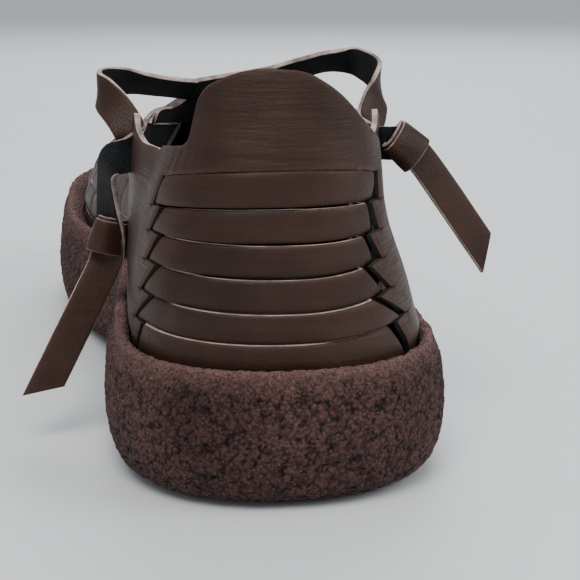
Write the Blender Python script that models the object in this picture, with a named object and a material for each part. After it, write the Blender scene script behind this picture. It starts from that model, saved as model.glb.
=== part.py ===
"""A woven leather slip-on shoe for the right foot, on a one-piece foam cup sole.

Metres, +Z up. The toe points along +Y and the outer side of the foot is +X. The origin is on the
floor, under the middle of the sole's box. The shoe stands empty on its heel and forefoot.

A place on the upper is given by its way and its height. The way runs round the foot from the
middle of the heel, 0, through the heel's side, 90, and the toe's side, 190, to the toe's tip,
280. It is degrees of turn at heel and toe and a percentage of the straight run between them,
positive on the outer side and negative on the inner side.
"""

import bpy
import numpy as np
from mathutils import Vector
from mathutils.geometry import delaunay_2d_cdt

MM = 0.001

# Driving sizes
LENGTH = 0.291
HEEL_WIDTH = 0.086
BALL_INNER = 0.054
BALL_OUTER = 0.057
TAB_HEIGHT = 0.104
INSTEP_HEIGHT = 0.084
HEEL_RIM = 0.0325
HEEL_FLOOR = 0.024
TOE_SPRING = 0.012
ARCH_RISE = 0.0045
LEATHER = 0.0018
BAND_LIFT = 0.0009
STRIP_LIFT = 0.0009
CLEARANCE = 0.0003
CUP_CLEARANCE = 0.0005
TONGUE_CLEARANCE = 0.0010
HEEL_INSET = 0.0063
TOE_INSET = 0.0085
LIP_WIDTH = 0.0042
LIP_CREST = 0.0012
BOTTOM_ROUND = 0.014
INSOLE_THICKNESS = 0.004
TONGUE_WIDTH = 0.027
TONGUE_THICKNESS = 0.0018
TONGUE_RISE = 0.010
LACE_WIDTH = 0.009
LACE_THICKNESS = 0.0018
KNOT_SIZE = 0.0105
SLIT_WIDTH = 0.0008
SLANT_WIDTH = 0.0016
GAP_ACROSS = 0.0028
GAP_ALONG = 0.0034

# Where the plan's heel and toe caps begin, as shares of the length, and how square the caps are
HEEL_CENTRE = 0.15
TOE_CENTRE = 0.80
CAP_SQUARENESS = 2.25
# The upper flattened for cutting is this many times wider than its plan
FLAT = 2.2
# The heel's back stays almost upright, as if it rose to this many tab heights
BACK_REACH = 1.6

# Sides of the sole: place along the length, inner and outer widening from heel to ball width,
# shift of the middle line as a share of the ball's inner half
SIDES = (
    (0.15, 0.00, 0.00, 0.00),
    (0.25, -0.10, 0.03, 0.00),
    (0.38, -0.38, 0.12, 0.00),
    (0.52, 0.18, 0.48, -0.01),
    (0.64, 0.88, 0.92, -0.03),
    (0.71, 1.00, 1.00, -0.06),
    (0.80, 0.92, 0.78, -0.12),
)
# Middle line of the upper: place along, height as a share of the instep, squareness of section
RIDGE = (
    (0.15, 1.32, 2.00),
    (0.20, 1.60, 2.05),
    (0.25, 2.05, 2.15),
    (0.30, 1.62, 2.20),
    (0.35, 1.17, 2.25),
    (0.41, 1.00, 2.30),
    (0.52, 0.895, 2.50),
    (0.64, 0.815, 2.65),
    (0.72, 0.775, 2.70),
    (0.80, 0.745, 2.70),
)
# Outer side of the heel: height as a share of the tab's height, width there as a share
PINCH = (
    (0.330, 1.000),
    (0.400, 0.958),
    (0.450, 0.932),
    (0.500, 0.900),
    (0.560, 0.856),
    (0.610, 0.828),
    (0.660, 0.820),
    (0.740, 0.845),
    (0.800, 0.868),
    (1.000, 0.900),
)
# Places along between which the pinch fades out
PINCH_START = 0.12
PINCH_END = 0.36
# Cup of the sole: place along, floor as a share of the heel's floor, rim of the heel's rim
CUP = (
    (0.00, 1.00, 1.00),
    (0.15, 1.00, 1.02),
    (0.35, 0.95, 1.08),
    (0.52, 0.84, 1.10),
    (0.66, 0.76, 1.12),
    (0.80, 0.76, 1.15),
    (0.92, 0.84, 1.22),
    (1.00, 0.95, 1.28),
)
# Rings that the upper's foot and the cup share, from the floor, 0, to the rim, 1
CUP_RINGS = (0.0, 0.10, 0.32, 0.62, 1.0)
# Side of the sole from the floor up: distance in from the outline as a share of the bottom
# round, height as a share of the side
SOLE_SIDE = (
    (1.00, 0.00),
    (0.52, 0.035),
    (0.20, 0.13),
    (0.05, 0.30),
    (0.00, 0.50),
    (0.03, 0.70),
    (0.08, 0.86),
    (0.18, 0.96),
)
# Edge of the collar on each side, from the heel's middle to the tip of the ear, then down the
# front of the side band and back up the vamp: way, height as a share of the tab's height
COLLAR_INNER = (
    (10, 0.986), (20, 0.979), (30, 0.961), (36, 0.946), (39.5, 0.930), (41.4, 0.912),
    (42.4, 0.880), (43.2, 0.848), (45, 0.822), (48, 0.810), (54, 0.805), (75, 0.790),
    (90, 0.772), (97, 0.772), (101, 0.790), (105, 0.828),
    (105.6, 0.760), (105.0, 0.650), (105.0, 0.560), (107.4, 0.560), (107.8, 0.650),
    (109.5, 0.745), (114, 0.785), (118, 0.812), (122, 0.835),
)
COLLAR_OUTER = (
    (8.5, 0.973), (14, 0.959), (21, 0.937), (28, 0.909), (36, 0.873), (44, 0.845),
    (54, 0.822), (66, 0.808), (78, 0.797), (90, 0.783), (97, 0.780), (101, 0.795), (105, 0.828),
    (105.6, 0.760), (105.0, 0.650), (105.0, 0.560), (107.4, 0.560), (107.8, 0.650),
    (109.5, 0.745), (114, 0.785), (118, 0.812), (122, 0.835),
)
TAB_TOP = 0.982
VAMP_BACK_WAY = 126.5
# Rows of points that shape the steep back of the vamp, by their place along
VAMP_BACK_ROWS = (0.374, 0.388, 0.402, 0.420)
# Slits of the heel: heights of the middle, the inner and the outer end as shares of the tab's
# height, way of the inner and of the outer end
SLITS = (
    (0.768, 0.735, 0.744, 61, 50),
    (0.683, 0.667, 0.680, 60, 43),
    (0.603, 0.604, 0.609, 59, 39),
    (0.526, 0.535, 0.541, 59, 36),
    (0.448, 0.461, 0.468, 62, 38),
    (0.379, 0.388, 0.399, 68, 46),
)
SLANT_TURN = 8.5
LOWEST_TOOTH_DROP = 0.0055
# Lace slot in each ear: ways of its sides, heights of its ends as shares of the tab's height
SLOT_WAYS = (101.9, 103.3)
SLOT_HEIGHTS = (0.672, 0.770)
BAND_FRONT_WAY = 104.2
# Tongue: place along, rise above its root as a share, half width as a share. Behind the root it
# stands free.
TONGUE_ROOT = 0.364
TONGUE = (
    (0.540, 0.00, 0.78), (0.500, 0.00, 0.92), (0.460, 0.00, 1.0), (0.420, 0.00, 1.0),
    (0.390, -0.18, 1.0), (0.364, -0.54, 1.0), (0.356, -0.50, 1.0), (0.348, -0.36, 0.93),
    (0.343, -0.20, 0.76), (0.340, -0.12, 0.52), (0.338, -0.05, 0.24),
)
# Weave of the vamp: gaps between lengthwise bands, counted in bands from the middle line, and
# gaps between crosswise bands by their place along, those past the toe's centre on the flat.
# Behind WEAVE_FULL the bands keep their width.
COLUMNS = (-5.3, -4.5, -3.5, -2.5, -1.5, -0.5, 0.5, 1.5, 2.5, 3.5, 4.5, 5.3)
BANDS_TO_RIM = 5.5
WEAVE_FULL = 0.41
ROWS = (0.268, 0.318, 0.380, 0.442, 0.504, 0.566, 0.628, 0.690, 0.752, 0.816, 0.922, 1.030, 1.115)
# Width and length of a raised strip as shares of its cell, for a crosswise and a lengthwise one
CROSS_STRIP = (0.84, 0.60)
LONG_STRIP = (0.62, 0.86)
# The weave keeps this far in front of the side band, in ways, and this far above the sole's rim
WEAVE_START = 3.5
GAP_ABOVE_RIM = 0.0030
STRIP_ABOVE_RIM = 0.0020
# Free room round a weave gap, as times its half width and half length
GAP_ROOM = (2.2, 1.8)
# The flattened vamp is about this many times narrower than FLAT where the gaps lie
VAMP_STRETCH = 1.6
# Height over the rim of the row of points that holds the wall's shape there, and the free room
# that every such point keeps from an edge
SHAPE_ABOVE_RIM = 0.0026
SHAPE_ROOM = 0.0005
# Underside: place where the toe spring begins, place and half length of the arch
SPRING_START = 0.74
ARCH_PLACE = 0.42
ARCH_REACH = 0.16

LEATHER_BROWN = (0.060, 0.031, 0.024)
FOAM_BROWN = (0.050, 0.024, 0.021)
LINING_BLACK = (0.012, 0.013, 0.015)


def smooth(rows, column, at):
    """A column of a table read at any place, with no overshoot between its rows."""
    table = np.array(rows, dtype=float)
    x, y = table[:, 0], table[:, column]
    step = np.diff(x)
    rise = np.diff(y) / step
    slope = np.zeros(len(x))
    same = rise[:-1] * rise[1:] > 0
    total = np.where(same, rise[:-1] + rise[1:], 1.0)
    slope[1:-1] = np.where(same, 2 * rise[:-1] * rise[1:] / total, 0.0)
    at = np.clip(np.asarray(at, dtype=float), x[0], x[-1])
    i = np.clip(np.searchsorted(x, at, side="right") - 1, 0, len(x) - 2)
    s = (at - x[i]) / step[i]
    return (
        y[i] * (1 + 2 * s) * (1 - s) ** 2
        + slope[i] * step[i] * s * (1 - s) ** 2
        + y[i + 1] * s * s * (3 - 2 * s)
        + slope[i + 1] * step[i] * s * s * (s - 1)
    )


def signed_power(value, power):
    return np.sign(value) * np.abs(value) ** power


def half_width(side, along):
    """Half width of the sole on one side, +1 outer or -1 inner."""
    ball = np.where(side > 0, BALL_OUTER, BALL_INNER)
    widening = np.where(side > 0, smooth(SIDES, 2, along), smooth(SIDES, 1, along))
    return HEEL_WIDTH / 2 + (ball - HEEL_WIDTH / 2) * widening


def middle(along):
    return smooth(SIDES, 3, along) * BALL_INNER


def inset(along):
    """How far the upper's foot lies inside the sole's outline."""
    return HEEL_INSET + (TOE_INSET - HEEL_INSET) * np.clip(along, 0, 1)


def ray(way, margin=0.0, follow=False):
    """Middle point, edge point and turn of the ray at each way. The edge is the sole's outline
    less a margin or, with follow, the upper's foot."""
    way = np.asarray(way, dtype=float)
    side = np.where(way < 0, -1.0, 1.0)
    w = np.abs(way)
    along = HEEL_CENTRE + (TOE_CENTRE - HEEL_CENTRE) * np.clip((w - 90) / 100, 0, 1)
    turn = np.radians(np.where(w < 90, w, np.where(w > 190, 280 - w, 90)))
    toe = w > 190
    if follow:
        margin = inset(along)
    centre = np.stack([middle(along), along * LENGTH], axis=-1)
    half = half_width(side, along) - side * centre[..., 0] - margin
    reach = np.where(toe, (1 - TOE_CENTRE) * LENGTH, HEEL_CENTRE * LENGTH) - margin
    power = CAP_SQUARENESS
    radius = ((np.sin(turn) / half) ** power + (np.abs(np.cos(turn)) / reach) ** power) ** (-1 / power)
    heading = np.stack([side * np.sin(turn), np.where(toe, 1.0, -1.0) * np.cos(turn)], axis=-1)
    return centre, centre + radius[..., None] * heading, turn


def profile(way):
    """Foot height, ridge height and squareness of the upper's section at each way."""
    centre, edge, turn = ray(way, follow=True)
    along = centre[..., 1] / LENGTH
    foot = smooth(CUP, 1, edge[..., 1] / LENGTH) * HEEL_FLOOR
    top = smooth(RIDGE, 1, along) * INSTEP_HEIGHT
    back = np.where(np.abs(np.asarray(way)) < 90, np.cos(turn) ** 2, 0.0)
    top = top + (BACK_REACH * TAB_HEIGHT - top) * back
    return foot, top, smooth(RIDGE, 2, along)


def way_of(flat):
    """The way and the share of the ray of each point of the flattened upper."""
    x, y = flat[..., 0], flat[..., 1]
    heel, toe = HEEL_CENTRE * LENGTH, TOE_CENTRE * LENGTH
    along = np.clip(y, heel, toe) / LENGTH
    dx = x - middle(along)
    side = np.where(dx < 0, -1.0, 1.0)
    w = 90 + 100 * (along - HEEL_CENTRE) / (TOE_CENTRE - HEEL_CENTRE)
    w = np.where(y < heel, np.degrees(np.arctan2(np.abs(dx), heel - y)), w)
    w = np.where(y > toe, 280 - np.degrees(np.arctan2(np.abs(dx), y - toe)), w)
    centre, edge, _ = ray(side * w, follow=True)
    distance = np.hypot(dx, y - np.clip(y, heel, toe))
    return side * w, distance / (FLAT * np.linalg.norm(edge - centre, axis=-1))


def flat_at(way, height=None, share=None):
    """The point of the flattened upper at a way and a height, or at a share of the ray."""
    way = np.asarray(way, dtype=float)
    centre, edge, _ = ray(way, follow=True)
    if share is None:
        foot, top, power = profile(way)
        rise = np.clip((height - foot) / (top - foot), 0, 1)
        share = np.arccos(rise ** (power / 2)) * 2 / np.pi
    share = np.broadcast_to(np.asarray(share, dtype=float), way.shape)
    return centre + (edge - centre) * (share * FLAT)[..., None]


def pinched(plan, centre, height):
    """The plan with the heel's outer side drawn in towards the middle line."""
    fade = np.clip((plan[..., 1] / LENGTH - PINCH_START) / (PINCH_END - PINCH_START), 0, 1)
    held = 1 - fade * fade * (3 - 2 * fade)
    aside = plan[..., 0] - centre[..., 0]
    share = 1 - (1 - smooth(PINCH, 1, height / TAB_HEIGHT)) * held
    across = centre[..., 0] + aside * np.where(aside > 0, share, 1.0)
    return np.stack([across, plan[..., 1], height], axis=-1)


def surface(flat):
    """The upper's outer face at points of the flattened upper."""
    way, share = way_of(flat)
    centre, edge, _ = ray(way, follow=True)
    foot, top, power = profile(way)
    bend = share * np.pi / 2
    plan = centre + (edge - centre) * signed_power(np.sin(bend), 2 / power)[..., None]
    height = foot + (top - foot) * signed_power(np.cos(bend), 2 / power)
    return pinched(plan, centre, height)


def outward(flat):
    """Unit vectors out of the upper's outer face."""
    step = 0.05 * MM
    across = surface(flat + [step, 0]) - surface(flat - [step, 0])
    along = surface(flat + [0, step]) - surface(flat - [0, step])
    normal = np.cross(across, along)
    return normal / np.linalg.norm(normal, axis=-1, keepdims=True)


def rim_height(way):
    _, edge, _ = ray(way)
    return smooth(CUP, 2, edge[..., 1] / LENGTH) * HEEL_RIM


def cup_height(way, share):
    """Height at a share of the way from the cup's floor to its rim."""
    foot = profile(way)[0]
    return foot + (rim_height(way) - foot) * share


def ring_ways():
    """Evenly placed ways, the same on both sides so that the rays share their middle points."""
    parts = (np.linspace(0, 90, 11), np.linspace(90, 190, 19)[1:], np.linspace(190, 280, 11)[1:])
    outer = np.concatenate(parts)
    return np.concatenate([outer, -outer[-2:0:-1]])


def inside(loop, points):
    """Which points lie inside a closed loop."""
    a, b = np.asarray(loop), np.roll(loop, -1, axis=0)
    x, y = points[:, 0, None], points[:, 1, None]
    cross = (a[:, 1] > y) != (b[:, 1] > y)
    run = np.where(b[:, 1] == a[:, 1], 1.0, b[:, 1] - a[:, 1])
    hit = x < a[:, 0] + (y - a[:, 1]) * (b[:, 0] - a[:, 0]) / run
    return (cross & hit).sum(axis=1) % 2 == 1


def collar_loop():
    """The upper's opening, from the heel's middle along the outer side and back along the inner."""
    middle_top = flat_at([0.0], height=TAB_TOP * TAB_HEIGHT)
    outer = np.array(COLLAR_OUTER)
    inner = np.array(COLLAR_INNER)[::-1]
    throat = flat_at([float(VAMP_BACK_WAY)], share=[0.0])
    return np.concatenate([
        middle_top,
        flat_at(outer[:, 0], height=outer[:, 1] * TAB_HEIGHT),
        throat,
        flat_at(-inner[:, 0], height=inner[:, 1] * TAB_HEIGHT),
    ])


def slit_height(row, way):
    """Height of a heel slit at a way: a parabola from its middle to each end."""
    height, inner_height, outer_height, inner, outer = row
    end = np.where(np.asarray(way) < 0, inner, outer)
    rise = np.where(np.asarray(way) < 0, inner_height, outer_height) - height
    return (height + rise * (np.asarray(way) / end) ** 2) * TAB_HEIGHT


def slit_loop(row):
    ways = np.linspace(-row[3], row[4], 11)
    thick = SLIT_WIDTH / 2 * np.sqrt(np.clip(np.sin(np.linspace(0, np.pi, 11)), 0.05, 1))
    heights = slit_height(row, ways)
    above = flat_at(ways, height=heights + thick)
    below = flat_at(ways[::-1], height=(heights - thick)[::-1])
    return np.concatenate([above, below])


def tooth(side, k):
    """Upper and lower end, as way and height, of the slanted gap under one tooth of the side
    band."""
    column = 3 if side < 0 else 4
    row = SLITS[k]
    top_way = row[column]
    top = slit_height(row, side * row[column])
    if k + 1 < len(SLITS):
        below = SLITS[k + 1]
        low = slit_height(below, side * below[column])
        low_way = below[column] + SLANT_TURN
    else:
        low, low_way = top - LOWEST_TOOTH_DROP, top_way + SLANT_TURN
    return (top_way + 1.5, top), (low_way, low)


def slant_loop(side, k):
    (top_way, top), (low_way, low) = tooth(side, k)
    share = np.array([0.16, 0.80])
    ways = top_way + (low_way - top_way) * share
    heights = top + (low - top) * share
    spread = np.degrees(SLANT_WIDTH / (HEEL_WIDTH / 2)) / 2
    corners = (
        (ways[0] - spread, heights[0]), (ways[0] + spread, heights[0]),
        (ways[1] + spread, heights[1]), (ways[1] - spread, heights[1]),
    )
    return flat_at([side * c[0] for c in corners], height=np.array([c[1] for c in corners]))


def slot_loop(side):
    (back, front), (low, high) = SLOT_WAYS, SLOT_HEIGHTS
    ways = side * np.array([back, front, front, back])
    return flat_at(ways, height=np.array([low, low, high, high]) * TAB_HEIGHT)


def section_arc(side, along):
    """Shares of the ray through one section, the length of the wall from its ridge to each, and
    that to the rim."""
    way = side * (90 + 100 * (along - HEEL_CENTRE) / (TOE_CENTRE - HEEL_CENTRE))
    shares = np.linspace(0, 1, 61)
    section = surface(flat_at(np.full(61, way), share=shares))
    steps = np.linalg.norm(np.diff(section, axis=0), axis=1)
    lengths = np.concatenate([[0.0], np.cumsum(steps)])
    rim = float(np.interp(-rim_height(way), -section[:, 2], lengths))
    return way, shares, lengths, rim


def weave_point(column, row):
    """Where a lengthwise gap line meets a crosswise one on the flattened upper."""
    side = np.sign(column)
    along = min(row, TOE_CENTRE)
    way, shares, lengths, rim = section_arc(side, along)
    full = section_arc(side, max(along, WEAVE_FULL))[3]
    target = rim - (BANDS_TO_RIM - abs(column)) * full / BANDS_TO_RIM
    flat = flat_at(np.array([way]), share=float(np.interp(target, lengths, shares)))[0]
    return np.array([flat[0], row * LENGTH])


def rectangle(centre, across, along):
    return centre + np.array([(-across, -along), (across, -along), (across, along), (-across, along)])


def on_vamp(points, collar, margin):
    """Whether points lie on the vamp, above the sole's rim and in front of the side band."""
    way, _ = way_of(points)
    height = surface(points)[:, 2]
    clear = height > rim_height(way) + margin
    forward = np.abs(way) > BAND_FRONT_WAY + WEAVE_START
    return bool(np.all(clear & forward & ~inside(collar, points)))


def weave_gaps(collar):
    gaps = []
    stretch = FLAT / VAMP_STRETCH
    for row in ROWS[1:-1]:
        for column in COLUMNS[1:-1]:
            centre = weave_point(column, row)
            toe = stretch if row > TOE_CENTRE else 1.0
            across, along = GAP_ACROSS / 2 * stretch, GAP_ALONG / 2 * toe
            room = rectangle(centre, across * GAP_ROOM[0], along * GAP_ROOM[1])
            if on_vamp(room, collar, GAP_ABOVE_RIM):
                gaps.append(rectangle(centre, across, along))
    return gaps


def weave_strips(collar):
    """The raised part of each crossing: long and narrow along the band that lies on top."""
    strips = []
    for j in range(len(ROWS) - 1):
        for i in range(len(COLUMNS) - 1):
            corners = np.array([
                weave_point(COLUMNS[i], ROWS[j]), weave_point(COLUMNS[i + 1], ROWS[j]),
                weave_point(COLUMNS[i + 1], ROWS[j + 1]), weave_point(COLUMNS[i], ROWS[j + 1]),
            ])
            across, along = LONG_STRIP if (i + j) % 2 else CROSS_STRIP
            u = np.array([-across, across, across, -across]) / 2 + 0.5
            v = np.array([-along, -along, along, along]) / 2 + 0.5
            near = corners[0] + (corners[1] - corners[0]) * u[:, None]
            far = corners[3] + (corners[2] - corners[3]) * u[:, None]
            strip = near + (far - near) * v[:, None]
            if on_vamp(strip, collar, STRIP_ABOVE_RIM):
                strips.append(strip)
    return strips


def band_lift(points):
    """Height of the heel tab and the side bands over the strips that pass under them."""
    way, _ = way_of(points)
    height = surface(points)[:, 2]
    lift = np.zeros(len(points))
    w = np.abs(way)
    top = SLITS[0]
    lift[(height > slit_height(top, way)) & (w < top[3])] = BAND_LIFT
    for side in (-1, 1):
        teeth = [tooth(side, k) for k in range(len(SLITS))]
        for k, ((top_way, top_height), (low_way, low_height)) in enumerate(teeth):
            share = (top_height - height) / (top_height - low_height)
            back = top_way + (low_way - top_way) * share
            level = (share >= 0) & (share < 1)
            lift[(side * way > 0) & level & (w > back)] = BAND_LIFT
        lift[(side * way > 0) & (height >= teeth[0][0][1]) & (w > top[4])] = BAND_LIFT
    lift[w > BAND_FRONT_WAY] = 0.0
    lift[height < rim_height(way) + LIP_CREST] = 0.0
    return lift


def filling_points(collar, holes):
    """Points that let the flat triangles follow the curved wall."""
    found = []
    ring = ring_ways()
    found += [flat_at(ring, height=cup_height(ring, share)) for share in CUP_RINGS[1:-1]]
    found.append(flat_at(ring, height=rim_height(ring) + SHAPE_ABOVE_RIM))
    for height in np.array([0.86, 0.93]) * TAB_HEIGHT:
        found.append(flat_at(np.linspace(-50, 50, 9), height=height))
    for row in VAMP_BACK_ROWS:
        shape = [weave_point(column, row) for column in (-3.0, -2.0, -1.0, 0.01, 1.0, 2.0, 3.0)]
        found.append(np.array(shape))
    for side in (-1, 1):
        for k in range(len(SLITS) - 1):
            (_, top), (low_way, low) = tooth(side, k)
            ways = np.linspace(low_way + 8, BAND_FRONT_WAY - 0.8, 4)
            found.append(flat_at(side * ways, height=np.full(4, (top + low) / 2)))
            pair = np.array([BAND_FRONT_WAY - 0.3, BAND_FRONT_WAY + 0.3])
            found.append(flat_at(side * pair, height=np.full(2, (top + low) / 2)))
            found.append(flat_at(side * pair, height=np.full(2, top)))
    points = np.concatenate(found)
    keep = ~inside(collar, points)
    for hole in holes:
        centre = hole.mean(axis=0)
        wide = centre + (hole - centre) * 1.25
        keep &= ~inside(wide, points)
    edges = np.concatenate([collar, *holes])
    nearest = np.min(np.linalg.norm(points[:, None] - edges[None], axis=2), axis=1)
    return points[keep & (nearest > SHAPE_ROOM)]


def material(name, colour, roughness):
    made = bpy.data.materials.new(name)
    made.use_nodes = True
    shader = made.node_tree.nodes["Principled BSDF"]
    shader.inputs["Base Color"].default_value = (*colour, 1.0)
    shader.inputs["Roughness"].default_value = roughness
    shader.inputs["Metallic"].default_value = 0.0
    return made


def make_object(name, points, faces, finish, merge=False):
    """A named solid from points and faces, with doubles merged where a grid closes on itself."""
    mesh = bpy.data.meshes.new(name)
    corners = [tuple(p) for p in np.asarray(points, dtype=float)]
    mesh.from_pydata(corners, [], [list(map(int, f)) for f in faces])
    made = bpy.data.objects.new(name, mesh)
    bpy.context.scene.collection.objects.link(made)
    mesh.materials.append(finish)
    if merge:
        weld = made.modifiers.new("close", "WELD")
        weld.merge_threshold = 0.00001
    mesh.shade_smooth()
    mesh.set_sharp_from_angle(angle=np.radians(35))
    return made


def upper():
    """The hollow woven upper: its flattened outline, collar, slits, slots and weave gaps are
    triangulated flat, and that sheet is laid on the outer and the inner face of the wall."""
    foot = flat_at(ring_ways(), share=1.0)
    collar = collar_loop()
    holes = [slit_loop(row) for row in SLITS]
    holes += [slant_loop(side, k) for side in (-1, 1) for k in range(len(SLITS))]
    holes += [slot_loop(side) for side in (-1, 1)]
    holes += weave_gaps(collar)
    strips = weave_strips(collar)
    loose = filling_points(collar, holes)
    rim = flat_at(ring_ways(), height=rim_height(ring_ways()))
    loops = [foot, collar, *holes, *strips, rim]
    starts = np.cumsum([0] + [len(loop) for loop in loops])
    faces = [list(range(starts[i], starts[i + 1])) for i in range(len(loops))]
    cloud = np.concatenate([*loops, loose])
    scaled = [Vector(p) for p in cloud / MM]
    flat, _, triangles, origin, _, _ = delaunay_2d_cdt(scaled, [], faces, 0, 1e-4, True)
    flat = np.array([tuple(p) for p in flat]) * MM
    kept = np.array(triangles)
    middles = flat[kept].mean(axis=1)
    wall = inside(foot, middles)
    for opening in (collar, *holes):
        wall &= ~inside(opening, middles)
    kept = kept[wall]
    count = len(holes) + 2
    used = np.unique(kept)
    renumber = np.full(len(flat), -1)
    renumber[used] = np.arange(len(used))
    kept = renumber[kept]
    first_strip = starts[count]
    last_strip = starts[-2]
    raised = np.array([any(first_strip <= o < last_strip for o in origin[v]) for v in used])
    flat = flat[used]
    corner = flat[kept]
    area = np.cross(corner[:, 1] - corner[:, 0], corner[:, 2] - corner[:, 0])
    kept = np.where(area[:, None] < 0, kept[:, ::-1], kept)
    base, normal = surface(flat), outward(flat)
    lift = np.maximum(band_lift(flat), np.where(raised, STRIP_LIFT, 0.0))
    outer = base + normal * lift[:, None]
    inner = base - normal * LEATHER
    n = len(flat)
    edges = np.concatenate([kept[:, [0, 1]], kept[:, [1, 2]], kept[:, [2, 0]]])
    there = {(a, b) for a, b in edges.tolist()}
    rims = [(a, b) for a, b in edges.tolist() if (b, a) not in there]
    walls = [(b, a, a + n, b + n) for a, b in rims]
    everything = [*kept.tolist(), *(kept[:, ::-1] + n).tolist(), *walls]
    finish = material("leather", LEATHER_BROWN, 0.45)
    make_object("woven_upper", np.concatenate([outer, inner]), everything, finish)


def closed_rings(rows):
    """Points and faces of rings stacked from the first row to the last, each ring closed."""
    count, around = rows.shape[:2]
    faces = []
    for k in range(count - 1):
        for i in range(around):
            j = (i + 1) % around
            faces.append((k * around + i, k * around + j, (k + 1) * around + j, (k + 1) * around + i))
    return rows.reshape(-1, 3), faces


def underside(x, y):
    """Height of the sole's underside: flat at heel and ball, sprung at the toe, arched inside."""
    along = y / LENGTH
    toe = np.clip((along - SPRING_START) / (1 - SPRING_START), 0, 1) ** 2 * TOE_SPRING
    waist = np.clip(1 - ((along - ARCH_PLACE) / ARCH_REACH) ** 2, 0, 1) ** 2
    inner = np.clip(-x / (HEEL_WIDTH / 2) + 0.25, 0, 1)
    return toe + ARCH_RISE * waist * inner


def sole():
    """The foam cup: a flat underside, rolled sides, a rounded lip and a hollow for the upper."""
    ways = ring_ways()
    centre, _, _ = ray(ways)
    rim = rim_height(ways)
    rows = []
    for share in (0.0, 0.55):
        _, edge, _ = ray(ways, margin=BOTTOM_ROUND)
        plan = centre + (edge - centre) * share
        rows.append(np.column_stack([plan, underside(plan[:, 0], plan[:, 1])]))
    for into, up in SOLE_SIDE:
        _, edge, _ = ray(ways, margin=into * BOTTOM_ROUND)
        low = underside(edge[:, 0], edge[:, 1])
        rows.append(np.column_stack([edge, low + (rim - low) * up]))
    _, edge, _ = ray(ways, margin=LIP_WIDTH)
    rows.append(np.column_stack([edge, rim + LIP_CREST]))
    for share in CUP_RINGS[:0:-1]:
        flat = flat_at(ways, height=cup_height(ways, share))
        rows.append(surface(flat) + outward(flat) * CUP_CLEARANCE)
    flat = flat_at(ways, share=1.0)
    foot = surface(flat) + outward(flat) * CUP_CLEARANCE
    foot[:, 2] = profile(ways)[0] - CLEARANCE
    rows.append(foot)
    floor = smooth(CUP, 1, centre[:, 1] / LENGTH) * HEEL_FLOOR - CLEARANCE
    middle_row = np.column_stack([centre, floor])
    rows.append((foot + middle_row) / 2)
    rows.append(middle_row)
    points, faces = closed_rings(np.array(rows))
    make_object("foam_sole", points, faces, material("foam", FOAM_BROWN, 0.9), merge=True)


def insole():
    """The flat footbed that fills the foot of the upper."""
    ways = ring_ways()
    centre, _, _ = ray(ways)
    floor = smooth(CUP, 1, centre[:, 1] / LENGTH) * HEEL_FLOOR
    foot = profile(ways)[0]
    rows = [np.column_stack([centre, floor])]
    into = LEATHER + CLEARANCE
    low = flat_at(ways, share=1.0)
    outer = surface(low)
    edge = outer - outward(low) * into
    reach = np.linalg.norm((edge - outer)[:, :2], axis=1)
    whole = np.linalg.norm(outer[:, :2] - centre, axis=1)
    edge[:, 2] = floor + (foot - floor) * (1 - reach / whole)
    rows.append(edge)
    high = flat_at(ways, height=foot + INSOLE_THICKNESS)
    edge = surface(high) - outward(high) * into
    edge[:, 2] = foot + INSOLE_THICKNESS
    rows.append(edge)
    rows.append(np.column_stack([centre, floor + INSOLE_THICKNESS]))
    points, faces = closed_rings(np.array(rows))
    make_object("insole", points, faces, material("footbed", LINING_BLACK, 0.85), merge=True)


def flat_over(x, y):
    """The point of the flattened upper whose outer face lies over a place in plan."""
    along = y / LENGTH
    way = np.where(x < 0, -1.0, 1.0) * (90 + 100 * (along - HEEL_CENTRE) / (TOE_CENTRE - HEEL_CENTRE))
    centre, edge, _ = ray(way, follow=True)
    power = smooth(RIDGE, 2, along)
    share = np.abs((x - centre[:, 0]) / (edge - centre)[:, 0])
    return flat_at(way, share=np.arcsin(share ** (power / 2)) * 2 / np.pi)


def tongue():
    """A rounded tab: it lies against the vamp's lining and stands up behind it."""
    columns = np.linspace(-1, 1, 7)
    upper_face, lower_face = [], []
    for along, rise, wide in TONGUE:
        x = middle(along) + columns * wide * TONGUE_WIDTH / 2
        y = np.full(len(x), max(along, TONGUE_ROOT) * LENGTH)
        flat = flat_over(x, y)
        face, normal = surface(flat), outward(flat)
        face = face - normal * (LEATHER + TONGUE_CLEARANCE)
        face = face + np.array([0.0, min(along - TONGUE_ROOT, 0.0) * LENGTH, rise * TONGUE_RISE])
        upper_face.append(face)
        lower_face.append(face - normal * TONGUE_THICKNESS)
    top, low = np.array(upper_face), np.array(lower_face)
    count, across = top.shape[:2]
    points = np.concatenate([top.reshape(-1, 3), low.reshape(-1, 3)])
    n = count * across
    faces = []
    for k in range(count - 1):
        for i in range(across - 1):
            a, d = k * across + i, (k + 1) * across + i
            b, c = a + 1, d + 1
            faces += [(a, d, c, b), (a + n, b + n, c + n, d + n)]
        for i, j in ((0, 1), (across - 1, -1)):
            a, b = k * across + i, (k + 1) * across + i
            faces.append((b, a, a + n, b + n) if j > 0 else (a, b, b + n, a + n))
    for k in (0, count - 1):
        for i in range(across - 1):
            a, b = k * across + i, k * across + i + 1
            faces.append((a, b, b + n, a + n) if k == 0 else (b, a, a + n, b + n))
    make_object("tongue", points, faces, material("tongue_leather", LEATHER_BROWN, 0.5))


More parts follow.
